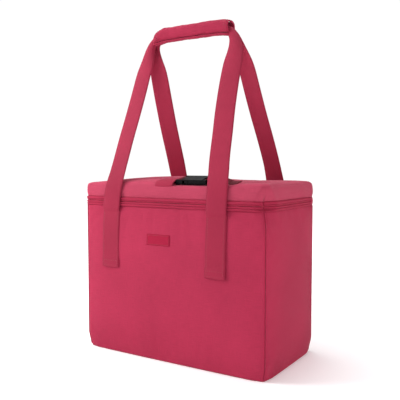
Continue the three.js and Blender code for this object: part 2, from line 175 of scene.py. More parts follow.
# ---- Materials ----
class Graph:
    """A short way to write a material's nodes."""

    def __init__(self, name):
        self.material = bpy.data.materials.new(name)
        self.material.use_nodes = True
        self.nodes = self.material.node_tree.nodes
        self.links = self.material.node_tree.links
        self.shader = self.nodes["Principled BSDF"]

    def put(self, socket, value):
        if isinstance(value, bpy.types.NodeSocket):
            self.links.new(value, socket)
        else:
            socket.default_value = value

    def node(self, kind, **inputs):
        made = self.nodes.new(kind)
        for name, value in inputs.items():
            self.put(made.inputs[name.replace("_", " ")], value)
        return made

    def math(self, operation, a, b=0.0):
        made = self.nodes.new("ShaderNodeMath")
        made.operation = operation
        self.put(made.inputs[0], a)
        self.put(made.inputs[1], b)
        return made.outputs[0]

    def weigh(self, *parts):
        """The sum of several values, each given with its weight."""
        total = None
        for value, weight in parts:
            part = self.math("MULTIPLY", value, weight)
            total = part if total is None else self.math("ADD", total, part)
        return total

    def ribs(self, value, pitch):
        return self.math("SINE", self.math("MULTIPLY", value, 2 * math.pi / pitch))

    def crossed(self, u, v, pitch_u, pitch_v):
        """Ribs along u and v multiplied: threads going over and under each other."""
        return self.math("MULTIPLY", self.ribs(u, pitch_u), self.ribs(v, pitch_v))

    def yarn(self, u, v, across, along, shift=0.0):
        """Uneven yarn: noise drawn out along one thread direction."""
        drawn = self.vector(self.math("MULTIPLY", u, across), self.math("MULTIPLY", v, along), shift)
        return self.noise(drawn, 1.0, 3.0)

    def vector(self, x, y, z=0.0):
        made = self.nodes.new("ShaderNodeCombineXYZ")
        self.put(made.inputs[0], x)
        self.put(made.inputs[1], y)
        self.put(made.inputs[2], z)
        return made.outputs[0]

    def noise(self, vector, scale, detail=2.0):
        made = self.node("ShaderNodeTexNoise", Vector=vector, Scale=scale, Detail=detail)
        return made.outputs["Fac"]

    def cloth(self):
        """The cloth's own coordinates, in metres along its two thread directions."""
        attribute = self.nodes.new("ShaderNodeAttribute")
        attribute.attribute_name = "cloth"
        parts = self.nodes.new("ShaderNodeSeparateXYZ")
        self.links.new(attribute.outputs["Vector"], parts.inputs[0])
        return parts.outputs[0], parts.outputs[1]

    def place(self):
        return self.nodes.new("ShaderNodeTexCoord").outputs["Object"]

    def ramp(self, value, stops):
        made = self.nodes.new("ShaderNodeValToRGB")
        self.put(made.inputs[0], value)
        while len(made.color_ramp.elements) < len(stops):
            made.color_ramp.elements.new(0.5)
        for element, (position, color) in zip(made.color_ramp.elements, stops):
            element.position = position
            element.color = (*color, 1)
        return made.outputs[0]

    def bump(self, height, distance, strength=1.0, after=None):
        made = self.node("ShaderNodeBump", Height=height, Distance=distance, Strength=strength)
        if after is not None:
            self.links.new(after, made.inputs["Normal"])
        return made.outputs[0]

    def finish(self, color, roughness, normal=None, sheen=0.0, sheen_roughness=0.4, **plain):
        self.put(self.shader.inputs["Base Color"], color)
        self.put(self.shader.inputs["Roughness"], roughness)
        if normal is not None:
            self.put(self.shader.inputs["Normal"], normal)
        if sheen:
            self.shader.inputs["Sheen Weight"].default_value = sheen
            self.shader.inputs["Sheen Roughness"].default_value = sheen_roughness
        for name, value in plain.items():
            self.shader.inputs[name.replace("_", " ")].default_value = value
        return self.material


def make_backdrop():
    """Pale floor that glows more the further off it is, so that it meets the white surroundings unseen."""
    g = Graph("floor")
    place = g.nodes.new("ShaderNodeVectorMath")
    place.operation = "LENGTH"
    g.put(place.inputs[0], g.place())
    glow = g.node("ShaderNodeMapRange", Value=place.outputs["Value"])
    for name, value in FLOOR_GLOW:
        glow.inputs[name].default_value = value
    g.put(g.shader.inputs["Emission Color"], (1, 1, 1, 1))
    g.put(g.shader.inputs["Emission Strength"], glow.outputs[0])
    return g.finish(FLOOR_COLOR, 0.8)


SHEEN_TINT = (1, 0.75, 0.8, 1)


def shade(color, factor):
    return tuple(min(1.0, c * factor) for c in color)


def woven(name, color, pitch, sheen=0.11, contrast=0.21, wave=0.25 * MM):
    """Plain-weave cloth: threads over and under each other, uneven yarn, a slow drift in the dye and painted
    shade in the hollows between the threads.
    """
    g = Graph(name)
    u, v = g.cloth()
    threads = g.crossed(u, v, pitch, pitch)
    yarn = g.weigh((g.yarn(u, v, 55, 1500), 0.55), (g.yarn(u, v, 1500, 55, 7.0), 0.45))
    drift = g.noise(g.place(), 9.0, 3.0)
    # The threads term darkens the hollows between the threads: painted shade.
    mixed = g.weigh((yarn, 0.62), (drift, 0.28), (threads, 0.07))
    tone = g.ramp(mixed, [(0.30, shade(color, 1 - contrast)), (0.62, shade(color, 1 + contrast))])
    normal = g.bump(g.weigh((threads, 0.5), (yarn, 1.2)), wave, 0.8)
    rough = g.math("ADD", g.math("MULTIPLY", yarn, 0.2), 0.68)
    return g.finish(tone, rough, normal, sheen, 0.2, Sheen_Tint=SHEEN_TINT, Specular_IOR_Level=0.1)


def webbed(name, color, width, rib=2.1 * MM, sheen=0.04, contrast=0.14):
    """Flat webbing: fine ribs across it, warp lines along it, a denser edge and painted shade between the
    ribs.
    """
    g = Graph(name)
    u, v = g.cloth()
    both = g.crossed(u, v, 1.25 * MM, rib)
    yarn = g.yarn(u, v, 1300, 90)
    drift = g.noise(g.place(), 14.0, 3.0)
    edge = g.math("GREATER_THAN", g.math("ABSOLUTE", g.math("DIVIDE", u, width / 2)), 0.93)
    # The ribs term darkens the hollows between the ribs: painted shade.
    mixed = g.weigh((yarn, 0.5), (drift, 0.4), (both, 0.06), (edge, -0.10))
    tone = g.ramp(mixed, [(0.28, shade(color, 1 - contrast)), (0.64, shade(color, 1 + contrast))])
    normal = g.bump(g.weigh((both, 0.45), (yarn, 0.8), (edge, 0.8)), 0.3 * MM, 0.8)
    return g.finish(tone, 0.66, normal, sheen, 0.3, Sheen_Tint=SHEEN_TINT, Specular_IOR_Level=0.1)


def thread(name, color):
    g = Graph(name)
    twist = g.noise(g.place(), 900.0, 2.0)
    tone = g.ramp(twist, [(0.3, shade(color, 0.75)), (0.7, shade(color, 1.2))])
    return g.finish(tone, 0.5, g.bump(twist, 0.1 * MM, 0.6), 0.2)


def moulded(name, color, roughness=0.38, grain=700.0, gloss=0.5):
    """Moulded plastic: a faint spark-eroded grain, with worn, duller patches."""
    g = Graph(name)
    fine = g.noise(g.place(), grain, 3.0)
    wear = g.noise(g.place(), 60.0, 4.0)
    tone = g.ramp(wear, [(0.35, color), (0.75, shade(color, 1.9))])
    rough = g.math("ADD", g.math("MULTIPLY", wear, 0.25), roughness - 0.1)
    return g.finish(tone, rough, g.bump(fine, 0.06 * MM, 0.5), Specular_IOR_Level=gloss)


def plated(name, color):
    g = Graph(name)
    fine = g.noise(g.place(), 900.0, 3.0)
    wear = g.noise(g.place(), 220.0, 3.0)
    tone = g.ramp(wear, [(0.3, shade(color, 0.8)), (0.7, color)])
    rough = g.math("ADD", g.math("MULTIPLY", fine, 0.2), 0.2)
    return g.finish(tone, rough, g.bump(fine, 0.03 * MM, 0.5), Metallic=1.0)


def foamed(name, color):
    g = Graph(name)
    cells = g.node("ShaderNodeTexVoronoi", Vector=g.place(), Scale=900.0).outputs["Distance"]
    tone = g.ramp(cells, [(0.0, shade(color, 0.75)), (0.5, color)])
    return g.finish(tone, 0.9, g.bump(cells, 0.25 * MM, 0.7), Specular_IOR_Level=0.2)


def filmed(name, color):
    """Silvery wipe-clean film: soft ripples and a fine embossed grid."""
    g = Graph(name)
    grid = g.crossed(*g.cloth(), 3.2 * MM, 3.2 * MM)
    ripple = g.noise(g.place(), 26.0, 4.0)
    tone = g.ramp(ripple, [(0.3, shade(color, 0.86)), (0.7, shade(color, 1.08))])
    rough = g.math("ADD", g.math("MULTIPLY", ripple, 0.2), 0.32)
    normal = g.bump(ripple, 2 * MM, 0.2, g.bump(grid, 0.12 * MM, 0.5))
    return g.finish(tone, rough, normal, Metallic=0.35)


def hooked(name, color):
    """Hook-and-loop tape: rows of little hooks in a fuzz of fibres."""
    g = Graph(name)
    hooks = g.crossed(*g.cloth(), 1.3 * MM, 1.3 * MM)
    fuzz = g.noise(g.place(), 1500.0, 3.0)
    tone = g.ramp(fuzz, [(0.3, shade(color, 0.6)), (0.7, shade(color, 1.8))])
    relief = g.math("ADD", g.math("MULTIPLY", hooks, 0.6), fuzz)
    return g.finish(tone, 0.92, g.bump(relief, 0.6 * MM, 0.9), 0.3)


RASPBERRY = (0.400, 0.0275, 0.071)
LID_PINK_PAINTED_SHEEN = (0.435, 0.050, 0.098)  # the same cloth, painted paler on the lid: painted sheen for the overhead light's wash over the lid
GRIP_PINK = (0.355, 0.0235, 0.061)
STRAP_PINK = (0.306, 0.0190, 0.050)
SHELL = woven("shell_weave", RASPBERRY, 0.9 * MM)
LID_SHELL_PAINTED_SHEEN = woven("lid_weave_painted_sheen", LID_PINK_PAINTED_SHEEN, 0.9 * MM, 0.16)
GRIP_SHELL = woven("grip_weave", GRIP_PINK, 0.9 * MM)
WEBBING = webbed("strap_webbing", STRAP_PINK, 38 * MM)
TAPE = woven("zipper_tape", (0.375, 0.0235, 0.062), 0.7 * MM, 0.06)
COIL = moulded("zipper_coil", (0.30, 0.018, 0.046), 0.42, 1500.0)
LABEL = woven("label_weave", (0.33, 0.010, 0.040), 0.5 * MM, 0.05, 0.10, 0.12 * MM)
THREAD = thread("sewing_thread", (0.27, 0.016, 0.042))
FOAM = foamed("insulating_foam", (0.80, 0.80, 0.77))
FILM = filmed("lining_film", (0.50, 0.52, 0.55))
BOARD = moulded("base_board", (0.05, 0.05, 0.055), 0.6)
BLACK = moulded("buckle_plastic", (0.004, 0.004, 0.005), 0.30, gloss=0.05)
# Painted shade: the buckle's straps are pink webbing coloured dark maroon, as it looks in shadow.
BUCKLE_WEB_PAINTED_SHADE = webbed("buckle_webbing", (0.13, 0.006, 0.016), 25 * MM, 1.8 * MM, 0.1, contrast=0.3)
HOOKS = hooked("hook_tape", (0.018, 0.018, 0.020))
METAL = plated("slider_metal", (0.45, 0.45, 0.47))


# ---- Mesh helpers ----
def piece(name, points, faces, material, cloth, flat=False):
    """A mesh object of one material, with the cloth's coordinates at its points."""
    mesh = bpy.data.meshes.new(name)
    mesh.from_pydata([tuple(p) for p in points], [], faces)
    mesh.materials.append(material)
    attribute = mesh.attributes.new("cloth", "FLOAT_VECTOR", "POINT")
    attribute.data.foreach_set("vector", np.asarray(cloth, np.float32).ravel())
    mesh.polygons.foreach_set("use_smooth", [not flat] * len(mesh.polygons))
    mesh.update()
    made = bpy.data.objects.new(name, mesh)
    bpy.context.scene.collection.objects.link(made)
    return made


def grid_faces(rows, columns, wrap_rows=False, wrap_columns=False):
    faces = []
    for i in range(rows if wrap_rows else rows - 1):
        for j in range(columns if wrap_columns else columns - 1):
            a, b = i * columns, ((i + 1) % rows) * columns
            k = (j + 1) % columns
            faces.append((a + j, a + k, b + k, b + j))
    return faces


def tube_faces(rings, sides):
    """A stack of rings, closed at its first and last ring."""
    faces = grid_faces(rings, sides, False, True)
    faces.append(tuple(reversed(range(sides))))
    faces.append(tuple(range((rings - 1) * sides, rings * sides)))
    return faces


def bar_faces(rows, columns):
    """Rows that go once round a bar, closed at its two ends."""
    faces = grid_faces(rows, columns, True)
    faces.append(tuple(i * columns for i in range(rows)))
    faces.append(tuple(i * columns + columns - 1 for i in reversed(range(rows))))
    return faces


def lengths(points):
    """How far along a line of points each one is."""
    gaps = np.linalg.norm(np.diff(np.asarray(points, float), axis=0), axis=1)
    return np.concatenate([[0], np.cumsum(gaps)])


def unit(vector):
    return vector / np.linalg.norm(vector)


def points_of(made):
    co = np.zeros(len(made.data.vertices) * 3, np.float32)
    made.data.vertices.foreach_get("co", co)
    return co.reshape(-1, 3).astype(float)


def set_points(made, co):
    made.data.vertices.foreach_set("co", np.asarray(co, np.float32).ravel())
    made.data.update()


def thicken(made, thickness, levels=0, even=True):
    """Gives a sheet its thickness, behind its face, then smooths it."""
    solid = made.modifiers.new("thickness", "SOLIDIFY")
    solid.thickness = thickness
    solid.offset = -1.0
    solid.use_even_offset = even
    if levels:
        sub = made.modifiers.new("smooth", "SUBSURF")
        sub.levels = sub.render_levels = levels


def joined(parts):
    """Several (points, faces, cloth) lists as one."""
    points, faces, cloth = [], [], []
    for p, f, c in parts:
        start = len(points)
        points.extend(tuple(q) for q in p)
        cloth.extend(tuple(q) for q in c)
        faces.extend(tuple(start + i for i in face) for face in f)
    return points, faces, cloth


def settle(made, held, pressure=3.0, slack=0.002, cap=5 * MM):
    """Lets the sewn cloth swell under the padding behind it, held at its seams, and keeps the result."""
    group = made.vertex_groups.new(name="held")
    group.add([int(i) for i in np.nonzero(held)[0]], 1.0, "REPLACE")
    rest = points_of(made)
    cloth = made.modifiers.new("cloth", "CLOTH")
    settings = cloth.settings
    settings.quality = 6
    settings.mass = 0.25
    settings.tension_stiffness = 30
    settings.compression_stiffness = 30
    settings.shear_stiffness = 12
    settings.bending_stiffness = 3
    settings.vertex_group_mass = "held"
    settings.use_pressure = True
    settings.uniform_pressure_force = pressure
    settings.shrink_min = -slack
    settings.effector_weights.gravity = 0
    cloth.collision_settings.use_collision = False
    scene = bpy.context.scene
    cloth.point_cache.frame_start = 1
    cloth.point_cache.frame_end = SETTLE_FRAMES
    for f in range(1, SETTLE_FRAMES + 1):
        scene.frame_set(f)
    shown = made.evaluated_get(bpy.context.evaluated_depsgraph_get())
    moved = np.array([v.co for v in shown.data.vertices], float)
    made.modifiers.remove(cloth)
    made.vertex_groups.clear()
    scene.frame_set(1)
    shift = moved - rest
    length = np.maximum(np.linalg.norm(shift, axis=1), 1e-9)
    limited = cap * np.tanh(length / cap)
    set_points(made, rest + shift * (limited / length)[:, None])


# ---- The bag's plan ----
SIDES = {  # start, end, outward direction, bow
    "front": ((-CORNER_X, FRONT), (CORNER_X, FRONT), (0, -1), FRONT_BOW),
    "right": ((HALF_WIDTH, FRONT + CORNER), (HALF_WIDTH, BACK - CORNER), (1, 0), SIDE_BOW),
    "back": ((CORNER_X, BACK), (-CORNER_X, BACK), (0, 1), BACK_BOW),
    "left": ((-HALF_WIDTH, BACK - CORNER), (-HALF_WIDTH, FRONT + CORNER), (-1, 0), SIDE_BOW),
}
ARCS = {  # centre, angle where the arc starts
    "front_right": ((CORNER_X, FRONT + CORNER), -90),
    "back_right": ((CORNER_X, BACK - CORNER), 0),
    "back_left": ((-CORNER_X, BACK - CORNER), 90),
    "front_left": ((-CORNER_X, FRONT + CORNER), 180),
}
CUT_FROM = np.array([HALF_WIDTH - 24 * MM, FRONT - 1.0 * MM])  # the near corner's dent, in plan
CUT_TO = np.array([HALF_WIDTH + 0.8 * MM, FRONT + 35 * MM])
CUT_SHARE = 0.95
CUT_APEX = LID_EDGE - 2 * MM
CUT_DEPTH = 11.5 * MM  # how much of the dent is taken back on the way up to its apex
FOOT_SOFT = 6.5 * MM  # the corners are rounder at the foot
FOOT_REACH = 16 * MM
FOOT_RISE = 30 * MM


class Walk:
    """Stations round the plan: a place, an outward direction and how much of the bow each one has."""

    def __init__(self, *stretches, step=STEP, closed=False):
        at, out, bow = [], [], []
        for number, (name, start, end) in enumerate(stretches):
            if name in SIDES:
                (x0, y0), (x1, y1), normal, height = SIDES[name]
                span = math.hypot(x1 - x0, y1 - y0) * abs(end - start)
                count = max(2, round(span / step) + 1)
                for t in np.linspace(start, end, count):
                    at.append((x0 + (x1 - x0) * t, y0 + (y1 - y0) * t))
                    out.append(normal)
                    bow.append(height * (1 - (2 * t - 1) ** 2))
            else:
                (cx, cy), first = ARCS[name]
                count = max(3, round(CORNER * math.pi / 2 * abs(end - start) / (0.6 * step)) + 1)
                for t in np.linspace(start, end, count):
                    angle = math.radians(first + 90 * t)
                    normal = (math.cos(angle), math.sin(angle))
                    at.append((cx + CORNER * normal[0], cy + CORNER * normal[1]))
                    out.append(normal)
                    bow.append(0.0)
            if number < len(stretches) - 1 or closed:
                for column in (at, out, bow):
                    column.pop()
        self.at, self.out, self.bow = np.array(at), np.array(out), np.array(bow)
        self.closed = closed
        self.along = lengths(self.at)
        span = CUT_TO - CUT_FROM
        across = np.array([span[1], -span[0]]) / np.linalg.norm(span)
        self.cut = np.maximum((self.at - CUT_FROM) @ across, 0)
        past = np.abs(self.at) - (CORNER_X - FOOT_REACH, 0)
        past[:, 1] = np.abs(self.at[:, 1] - CENTRE_Y) - (CORNER_Y - FOOT_REACH)
        both = np.maximum(past, 0).prod(axis=1)
        self.corner = np.clip(both / (CORNER + FOOT_REACH) ** 2, 0, 1)

    def row(self, z, inset):
        """The stations at height z, moved in by inset."""
        foot = FOOT_SOFT * max(1 - inset / CORNER, 0) * self.corner * (1 - smooth(z / FOOT_RISE))
        shift = self.bow * swell(z) - inset - foot - dent(self.cut, z)
        plan = self.at + self.out * shift[:, None]
        return np.column_stack([plan, np.full(len(plan), z)])


def swell(z):
    """How full the walls are at height z: least at the foot, most a little below the middle."""
    h = min(max(z / BODY_TOP, 0), 1)
    return 0.35 + 0.45 * h + 0.6 * 4 * h * (1 - h)


def dent(cut, z):
    """How far the near corner is pushed in: flat across the lid's band, fading down the body."""
    rise = min(max((z - LID_BASE) / (CUT_APEX - LID_BASE), 0), 1)
    pushed = np.maximum(cut - CUT_DEPTH * rise, 0) * CUT_SHARE
    below = smooth((z - BODY_TOP + 26 * MM) / (26 * MM)) * 0.5
    return pushed * (below + 0.5 * smooth((z - BODY_TOP) / (3 * MM)))


def all_round(step=STEP):
    return Walk(("front", 0, 1), ("front_right", 0, 1), ("right", 0, 1), ("back_right", 0, 1),
                ("back", 0, 1), ("back_left", 0, 1), ("left", 0, 1), ("front_left", 0, 1),
                closed=True, step=step)


def share_at(y):
    """How far along the right side the place y is; the left side runs the other way."""
    return (y - FRONT - CORNER) / (2 * CORNER_Y)


def zip_path():
    reach = share_at(TAPE_END)
    return Walk(("left", 1 - reach, 1), ("front_left", 0, 1), ("front", 0, 1), ("front_right", 0, 1),
                ("right", 0, reach), step=3 * MM)


def hinge_path():
    reach = share_at(TAPE_END + 0.3 * MM)
    return Walk(("right", reach, 1), ("back_right", 0, 1), ("back", 0, 1), ("back_left", 0, 1),
                ("left", 0, 1 - reach))


def swept(name, walk, profile, material, ripple=0.0):
    """A closed profile of (inset, height) run along a walk."""
    points = np.array([walk.row(z, inset) for inset, z in profile])
    if ripple:
        for i, j in np.ndindex(points.shape[:2]):
            x, y, z = points[i, j] * 40
            points[i, j, :2] += walk.out[j] * noise.noise((x, y, z)) * ripple
    cloth = [(u, v, 0) for v in lengths(profile) for u in walk.along]
    rows, columns = points.shape[:2]
    faces = grid_faces(rows, columns, True, True) if walk.closed else bar_faces(rows, columns)
    return piece(name, points.reshape(-1, 3), faces, material, cloth)


def bulge(low_z, high_z, out, inside):
    """A rounded welt: heights and insets from low_z to high_z, standing out by out."""
    profile = [(inside, low_z)]
    for t in np.linspace(0, 1, 6):
        profile.append((-out * math.sin(math.pi * t) ** 0.6 + 0.2 * MM, low_z + (high_z - low_z) * t))
    profile.append((inside, high_z))
    return profile


# ---- Body ----
WALLS = {  # for each wall, the corner and the share of its arc where it starts, and where it ends
    "front": (("front_left", SEAM_SHARE), ("front_right", SEAM_SHARE)),
    "right": (("front_right", SEAM_SHARE), ("back_right", 1 - SEAM_SHARE)),
    "back": (("back_right", 1 - SEAM_SHARE), ("back_left", SEAM_SHARE)),
    "left": (("back_left", SEAM_SHARE), ("front_left", SEAM_SHARE)),
}
FOAM_OUTER = 2.4 * MM  # how far inside the outer cloth the foam starts and ends
FOAM_INNER = 8.9 * MM
# The share of its last corner by which each foam stops short of the next.
FOAM_TRIM = {"front": 0.05, "right": 0.05, "back": 0.05, "left": 0.2}
LINER_INSET = 9.9 * MM
WALL_RIPPLE = 0.7 * MM  # short puckers near the seams
WALL_WAVE = 0.8 * MM  # broad waves over the whole wall
LINING = 1.0 * MM
LINING_FOLD = 1.6 * MM  # how deep its soft creases are


def wall_rows():
    """(height, inset) of the outer cloth from under the foot to the mouth."""
    rows = [(0.0, FOOT_RADIUS + 1.6 * MM)]
    for i in range(7):
        angle = math.pi / 2 * i / 6
        rows.append((FOOT_RADIUS * (1 - math.cos(angle)), FOOT_RADIUS * (1 - math.sin(angle))))
    count = round((BODY_TOP - FOOT_RADIUS) / STEP)
    for i in range(1, count + 1):
        rows.append((FOOT_RADIUS + (BODY_TOP - FOOT_RADIUS) * i / count, 0.0))
    return rows


def pucker(x, y, z, scale=55.0):
    """A slow, even noise of the cloth, from -1 to 1."""
    return noise.noise((x * scale, y * scale, z * scale))


def wall_panel(name, walk):
    """A wall's cloth: swollen by the padding, dipping and puckering along its seams."""
    rows = wall_rows()
    count = len(walk.at)
    edge = np.minimum(walk.along, walk.along[-1] - walk.along)
    dip = SEAM_DIP * (1 - smooth(edge / SEAM_REACH))
    points = []
    for z, inset in rows:
        mouth = SEAM_DIP * (1 - smooth((BODY_TOP - z) / SEAM_REACH))
        row = walk.row(z, inset + mouth)
        row[:, :2] -= walk.out * dip[:, None]
        points.append(row)
    points = np.array(points).reshape(-1, 3)
    cloth = [(u, v, 0) for v in lengths(rows) for u in walk.along]
    made = piece(name, points, grid_faces(len(rows), count), SHELL, cloth)
    free_z = np.repeat([z for z, _ in rows], count)
    free_edge = np.tile(edge, len(rows))
    held = (free_z < FOOT_RADIUS) | (free_z > BODY_TOP - 5 * MM) | (free_edge < 4 * MM)
    settle(made, held)
    co = points_of(made)
    out = np.tile(walk.out, (len(rows), 1))
    near_seam = np.exp(-free_edge / (16 * MM)) + np.exp(-(BODY_TOP - free_z) / (14 * MM))
    ripple = np.array([pucker(*p) for p in co]) * WALL_RIPPLE * near_seam
    broad = np.array([pucker(*p, 11.0) for p in co]) * WALL_WAVE
    fade = smooth((free_z - FOOT_RADIUS * 0.5) / (20 * MM)) * smooth(free_edge / (8 * MM))
    co[:, :2] += out * ((ripple + broad) * fade)[:, None]
    set_points(made, co)
    thicken(made, CLOTH, 1, even=False)
    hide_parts(name)
    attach(made, "body")
    return made


def wall_walk(side, trim=0.0):
    """One wall's stretch of the plan, from seam to seam; trim takes a share of the last arc away."""
    (first, start), (last, end) = WALLS[side]
    return Walk((first, start, 1), (side, 0, 1), (last, 0, end - trim))


def make_body():
    panels = {side: wall_panel(side + "_panel", wall_walk(side)) for side in WALLS}
    made = sheet("bottom_panel", FOOT_RADIUS + 1.4 * MM, swell(0), lambda x, y: 0.0, CLOTH, SHELL,
                 8 * MM, down=True)
    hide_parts("bottom_panel")
    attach(made, "body")
    make_piping()
    make_insulation()
    return panels


def grid_lines(half, corner, step):
    """Places across a rounded rectangle, closer together in its corners."""
    inner = half - corner
    ends = [inner + corner * i / 3 for i in (1, 2, 3)]
    middle = np.linspace(-inner, inner, round(2 * inner / step) + 1)
    return [-e for e in reversed(ends)] + list(middle) + ends


def rounded(x, y, corner, half_x, half_y):
    """Moves a point of the square-cornered grid onto the rounded one."""
    a = (abs(x) - (half_x - corner)) / corner
    b = (abs(y) - (half_y - corner)) / corner
    if a <= 0 or b <= 0:
        return x, y
    nx = half_x - corner + corner * (a * math.sqrt(1 - b * b / 2))
    ny = half_y - corner + corner * (b * math.sqrt(1 - a * a / 2))
    return math.copysign(nx, x), math.copysign(ny, y)


def bowed(x, y, half_x, half_y, share):
    """Spreads a point outward with the bowed sides."""
    front = FRONT_BOW if y < 0 else BACK_BOW
    along_x = max(0.0, 1 - (x / CORNER_X) ** 2)
    along_y = max(0.0, 1 - (y / CORNER_Y) ** 2)
    return (x + x / half_x * SIDE_BOW * share * along_y * abs(x / half_x),
            y + y / half_y * front * share * along_x * abs(y / half_y))


def sheet(name, inset, share, height, thickness, material, step=6 * MM, corner=None, down=False):
    """A sheet that fills the plan at height(x, y), with its thickness below it, or above it facing down."""
    corner = corner or max(CORNER - inset, 2 * MM)
    half_x, half_y = HALF_WIDTH - inset, HALF_DEPTH - inset
    xs, ys = grid_lines(half_x, corner, step), grid_lines(half_y, corner, step)
    points = []
    for x in xs:
        for y in ys:
            px, py = bowed(*rounded(x, y, corner, half_x, half_y), half_x, half_y, share)
            points.append((px, py + CENTRE_Y, height(px, py + CENTRE_Y)))
    faces = grid_faces(len(xs), len(ys))
    if not down:
        faces = [f[::-1] for f in faces]
    made = piece(name, points, faces, material, [(x, y, 0) for x in xs for y in ys])
    thicken(made, thickness)
    return made


def make_piping():
    """A bead of covered cord in each upright seam."""
    radius, sides, past_seam = 1.5 * MM, 12, 0.05
    for corner, share in (("front_right", SEAM_SHARE + past_seam), ("back_right", 1 - SEAM_SHARE - past_seam),
                          ("back_left", SEAM_SHARE + past_seam), ("front_left", 1 - SEAM_SHARE - past_seam)):
        walk = Walk((corner, share, share + 0.2))
        out = np.array([*walk.out[0], 0])
        across = np.array([-out[1], out[0], 0])
        heights = np.linspace(FOOT_RADIUS * 0.6, BODY_TOP - 0.5 * MM, 90)
        points, cloth = [], []
        for z in heights:
            foot = FOOT_RADIUS - z
            inset = FOOT_RADIUS - math.sqrt(max(FOOT_RADIUS ** 2 - foot ** 2, 0)) if foot > 0 else 0.0
            centre = walk.row(z, inset + 0.2 * MM)[0]
            for i in range(sides):
                angle = 2 * math.pi * i / sides
                points.append(centre + (out * math.cos(angle) + across * math.sin(angle)) * radius)
                cloth.append((radius * angle, z, 0))
        node = corner + "_piping"
        made = piece(node, points, tube_faces(len(heights), sides), SHELL, cloth)
        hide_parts(node)
        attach(made, "body")


def make_insulation():
    top = BODY_TOP - 0.5 * MM
    foot = high("bottom_foam").z + 0.3 * MM
    heights = list(np.linspace(foot, top, 30))
    profile = [(FOAM_OUTER, z) for z in heights] + [(FOAM_INNER, z) for z in reversed(heights)]
    for side in WALLS:
        name = side + "_foam"
        made = swept(name, wall_walk(side, FOAM_TRIM[side]), profile, FOAM)
        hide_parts(name)
        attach(made, "body")
    for name, material, slot, inset in (("base_board", BOARD, "board", 12 * MM),
                                        ("bottom_foam", FOAM, "foam", 9 * MM)):
        z0, z1 = low(name).z, high(name).z
        made = sheet(name, inset, 0.3, lambda x, y, z=z1: z, z1 - z0, material, 10 * MM, 22 * MM)
        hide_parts(name)
        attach(made, "body")
    make_liner()


def make_liner():
    """The lining: four soft walls and a floor, with the binding round the mouth."""
    walk = all_round()
    heights = np.linspace(FLOOR, BODY_TOP - 0.3 * MM, 46)
    rows, cloth = [], []
    for z in heights:
        foot = max(0.0, 1 - (z - FLOOR) / (7 * MM))
        row = walk.row(z, LINER_INSET + 1.6 * MM * foot ** 2)
        lift = np.array([pucker(*p, 16.0) for p in row]) * LINING_FOLD
        share = smooth((z - FLOOR) / (20 * MM)) * smooth((BODY_TOP - z) / (14 * MM))
        row[:, :2] -= walk.out * (np.abs(lift) * share)[:, None]
        rows.extend(row)
        cloth.extend((u, z, 0) for u in walk.along)
    made = piece("liner", rows, grid_faces(len(heights), len(walk.at), False, True), FILM, cloth)
    thicken(made, LINING)
    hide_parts("liner")
    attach(made, "body")
    floor = sheet("liner_floor", LINER_INSET + 3.4 * MM, 0.4,
                  lambda x, y: FLOOR + pucker(x, y, 0, 14.0) * 0.8 * MM, LINING, FILM)
    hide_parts("liner")
    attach(floor, "body")
    profile = bulge(BODY_TOP + 0.2 * MM, BODY_TOP + 2.8 * MM, -1.6 * MM, 10.8 * MM)
    binding = swept("mouth_binding", walk, profile, TAPE)
    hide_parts("mouth_binding")
    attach(binding, "body")


# ---- Zipper ----
def make_zipper():
    path = zip_path()
    welts = (
        ("lower_zipper_tape", BODY_TOP - 0.8 * MM, PARTING - 4.0 * MM, 1.9 * MM, "zipper", "body"),
        ("lower_zipper_coil", PARTING - 4.6 * MM, PARTING - 0.3 * MM, 2.2 * MM, "coil", "body"),
        ("upper_zipper_coil", PARTING + 0.3 * MM, PARTING + 2.8 * MM, 1.7 * MM, "coil", "lid"),
        ("upper_zipper_tape", PARTING + 2.0 * MM, LID_BASE + 0.7 * MM, 2.5 * MM, "zipper", "lid"),
    )
    for name, z0, z1, out, slot, body in welts:
        made = swept(name, path, bulge(z0, z1, out, 2 * MM), TAPE, 0.12 * MM)
        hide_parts(name)
        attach(made, body)
    make_teeth(path)
    make_hinge_strip()


def make_teeth(path):
    """The coil's turns, seen in the gap between the two tapes."""
    pitch = 1.5 * MM
    half_width, half_depth, half_height = 0.42 * MM, 0.9 * MM, 0.42 * MM
    outline = ((-1, -1), (1, -1), (1, 0.6), (0, 1), (-1, 0.6))
    for name, body, z, phase in (("lower_zipper_teeth", "body", PARTING - 0.45 * MM, 0.0),
                                 ("upper_zipper_teeth", "lid", PARTING + 0.45 * MM, 0.5)):
        row = path.row(z, 0.5 * MM)
        points, faces, cloth = [], [], []
        for k in range(int(path.along[-1] / pitch)):
            s = (k + phase) * pitch
            x = np.interp(s, path.along, row[:, 0])
            y = np.interp(s, path.along, row[:, 1])
            nx = np.interp(s, path.along, path.out[:, 0])
            ny = np.interp(s, path.along, path.out[:, 1])
            size = math.hypot(nx, ny)
            nx, ny = nx / size, ny / size
            start = len(points)
            for dz in (-half_height, half_height):
                for da, db in [(a * half_width, b * half_depth) for a, b in outline]:
                    points.append((x - ny * da + nx * db, y + nx * da + ny * db, z + dz))
                    cloth.append((s + da, dz, 0))
            faces.append(tuple(start + i for i in range(5)))
            faces.append(tuple(start + 5 + i for i in (4, 3, 2, 1, 0)))
            for i in range(5):
                j = (i + 1) % 5
                faces.append((start + i, start + 5 + i, start + 5 + j, start + j))
        made = piece(name, points, faces, COIL, cloth)
        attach(made, body)


def make_hinge_strip():
    """Cloth along the lid's back edge, between the body and the lid, bowed out a little."""
    heights = np.linspace(BODY_TOP + 0.2 * MM, LID_BASE - 0.1 * MM, 15)
    middle = (heights[0] + heights[-1]) / 2
    half = (heights[-1] - heights[0]) / 2
    outer = [(-1.3 * MM * (1 - ((z - middle) / half) ** 2), z) for z in heights]
    inner = [(inset + 1.6 * MM, z) for inset, z in reversed(outer)]
    made = swept("lid_hinge_strip", hinge_path(), outer + inner, SHELL, 0.3 * MM)
    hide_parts("lid_hinge_strip")
    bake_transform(made)


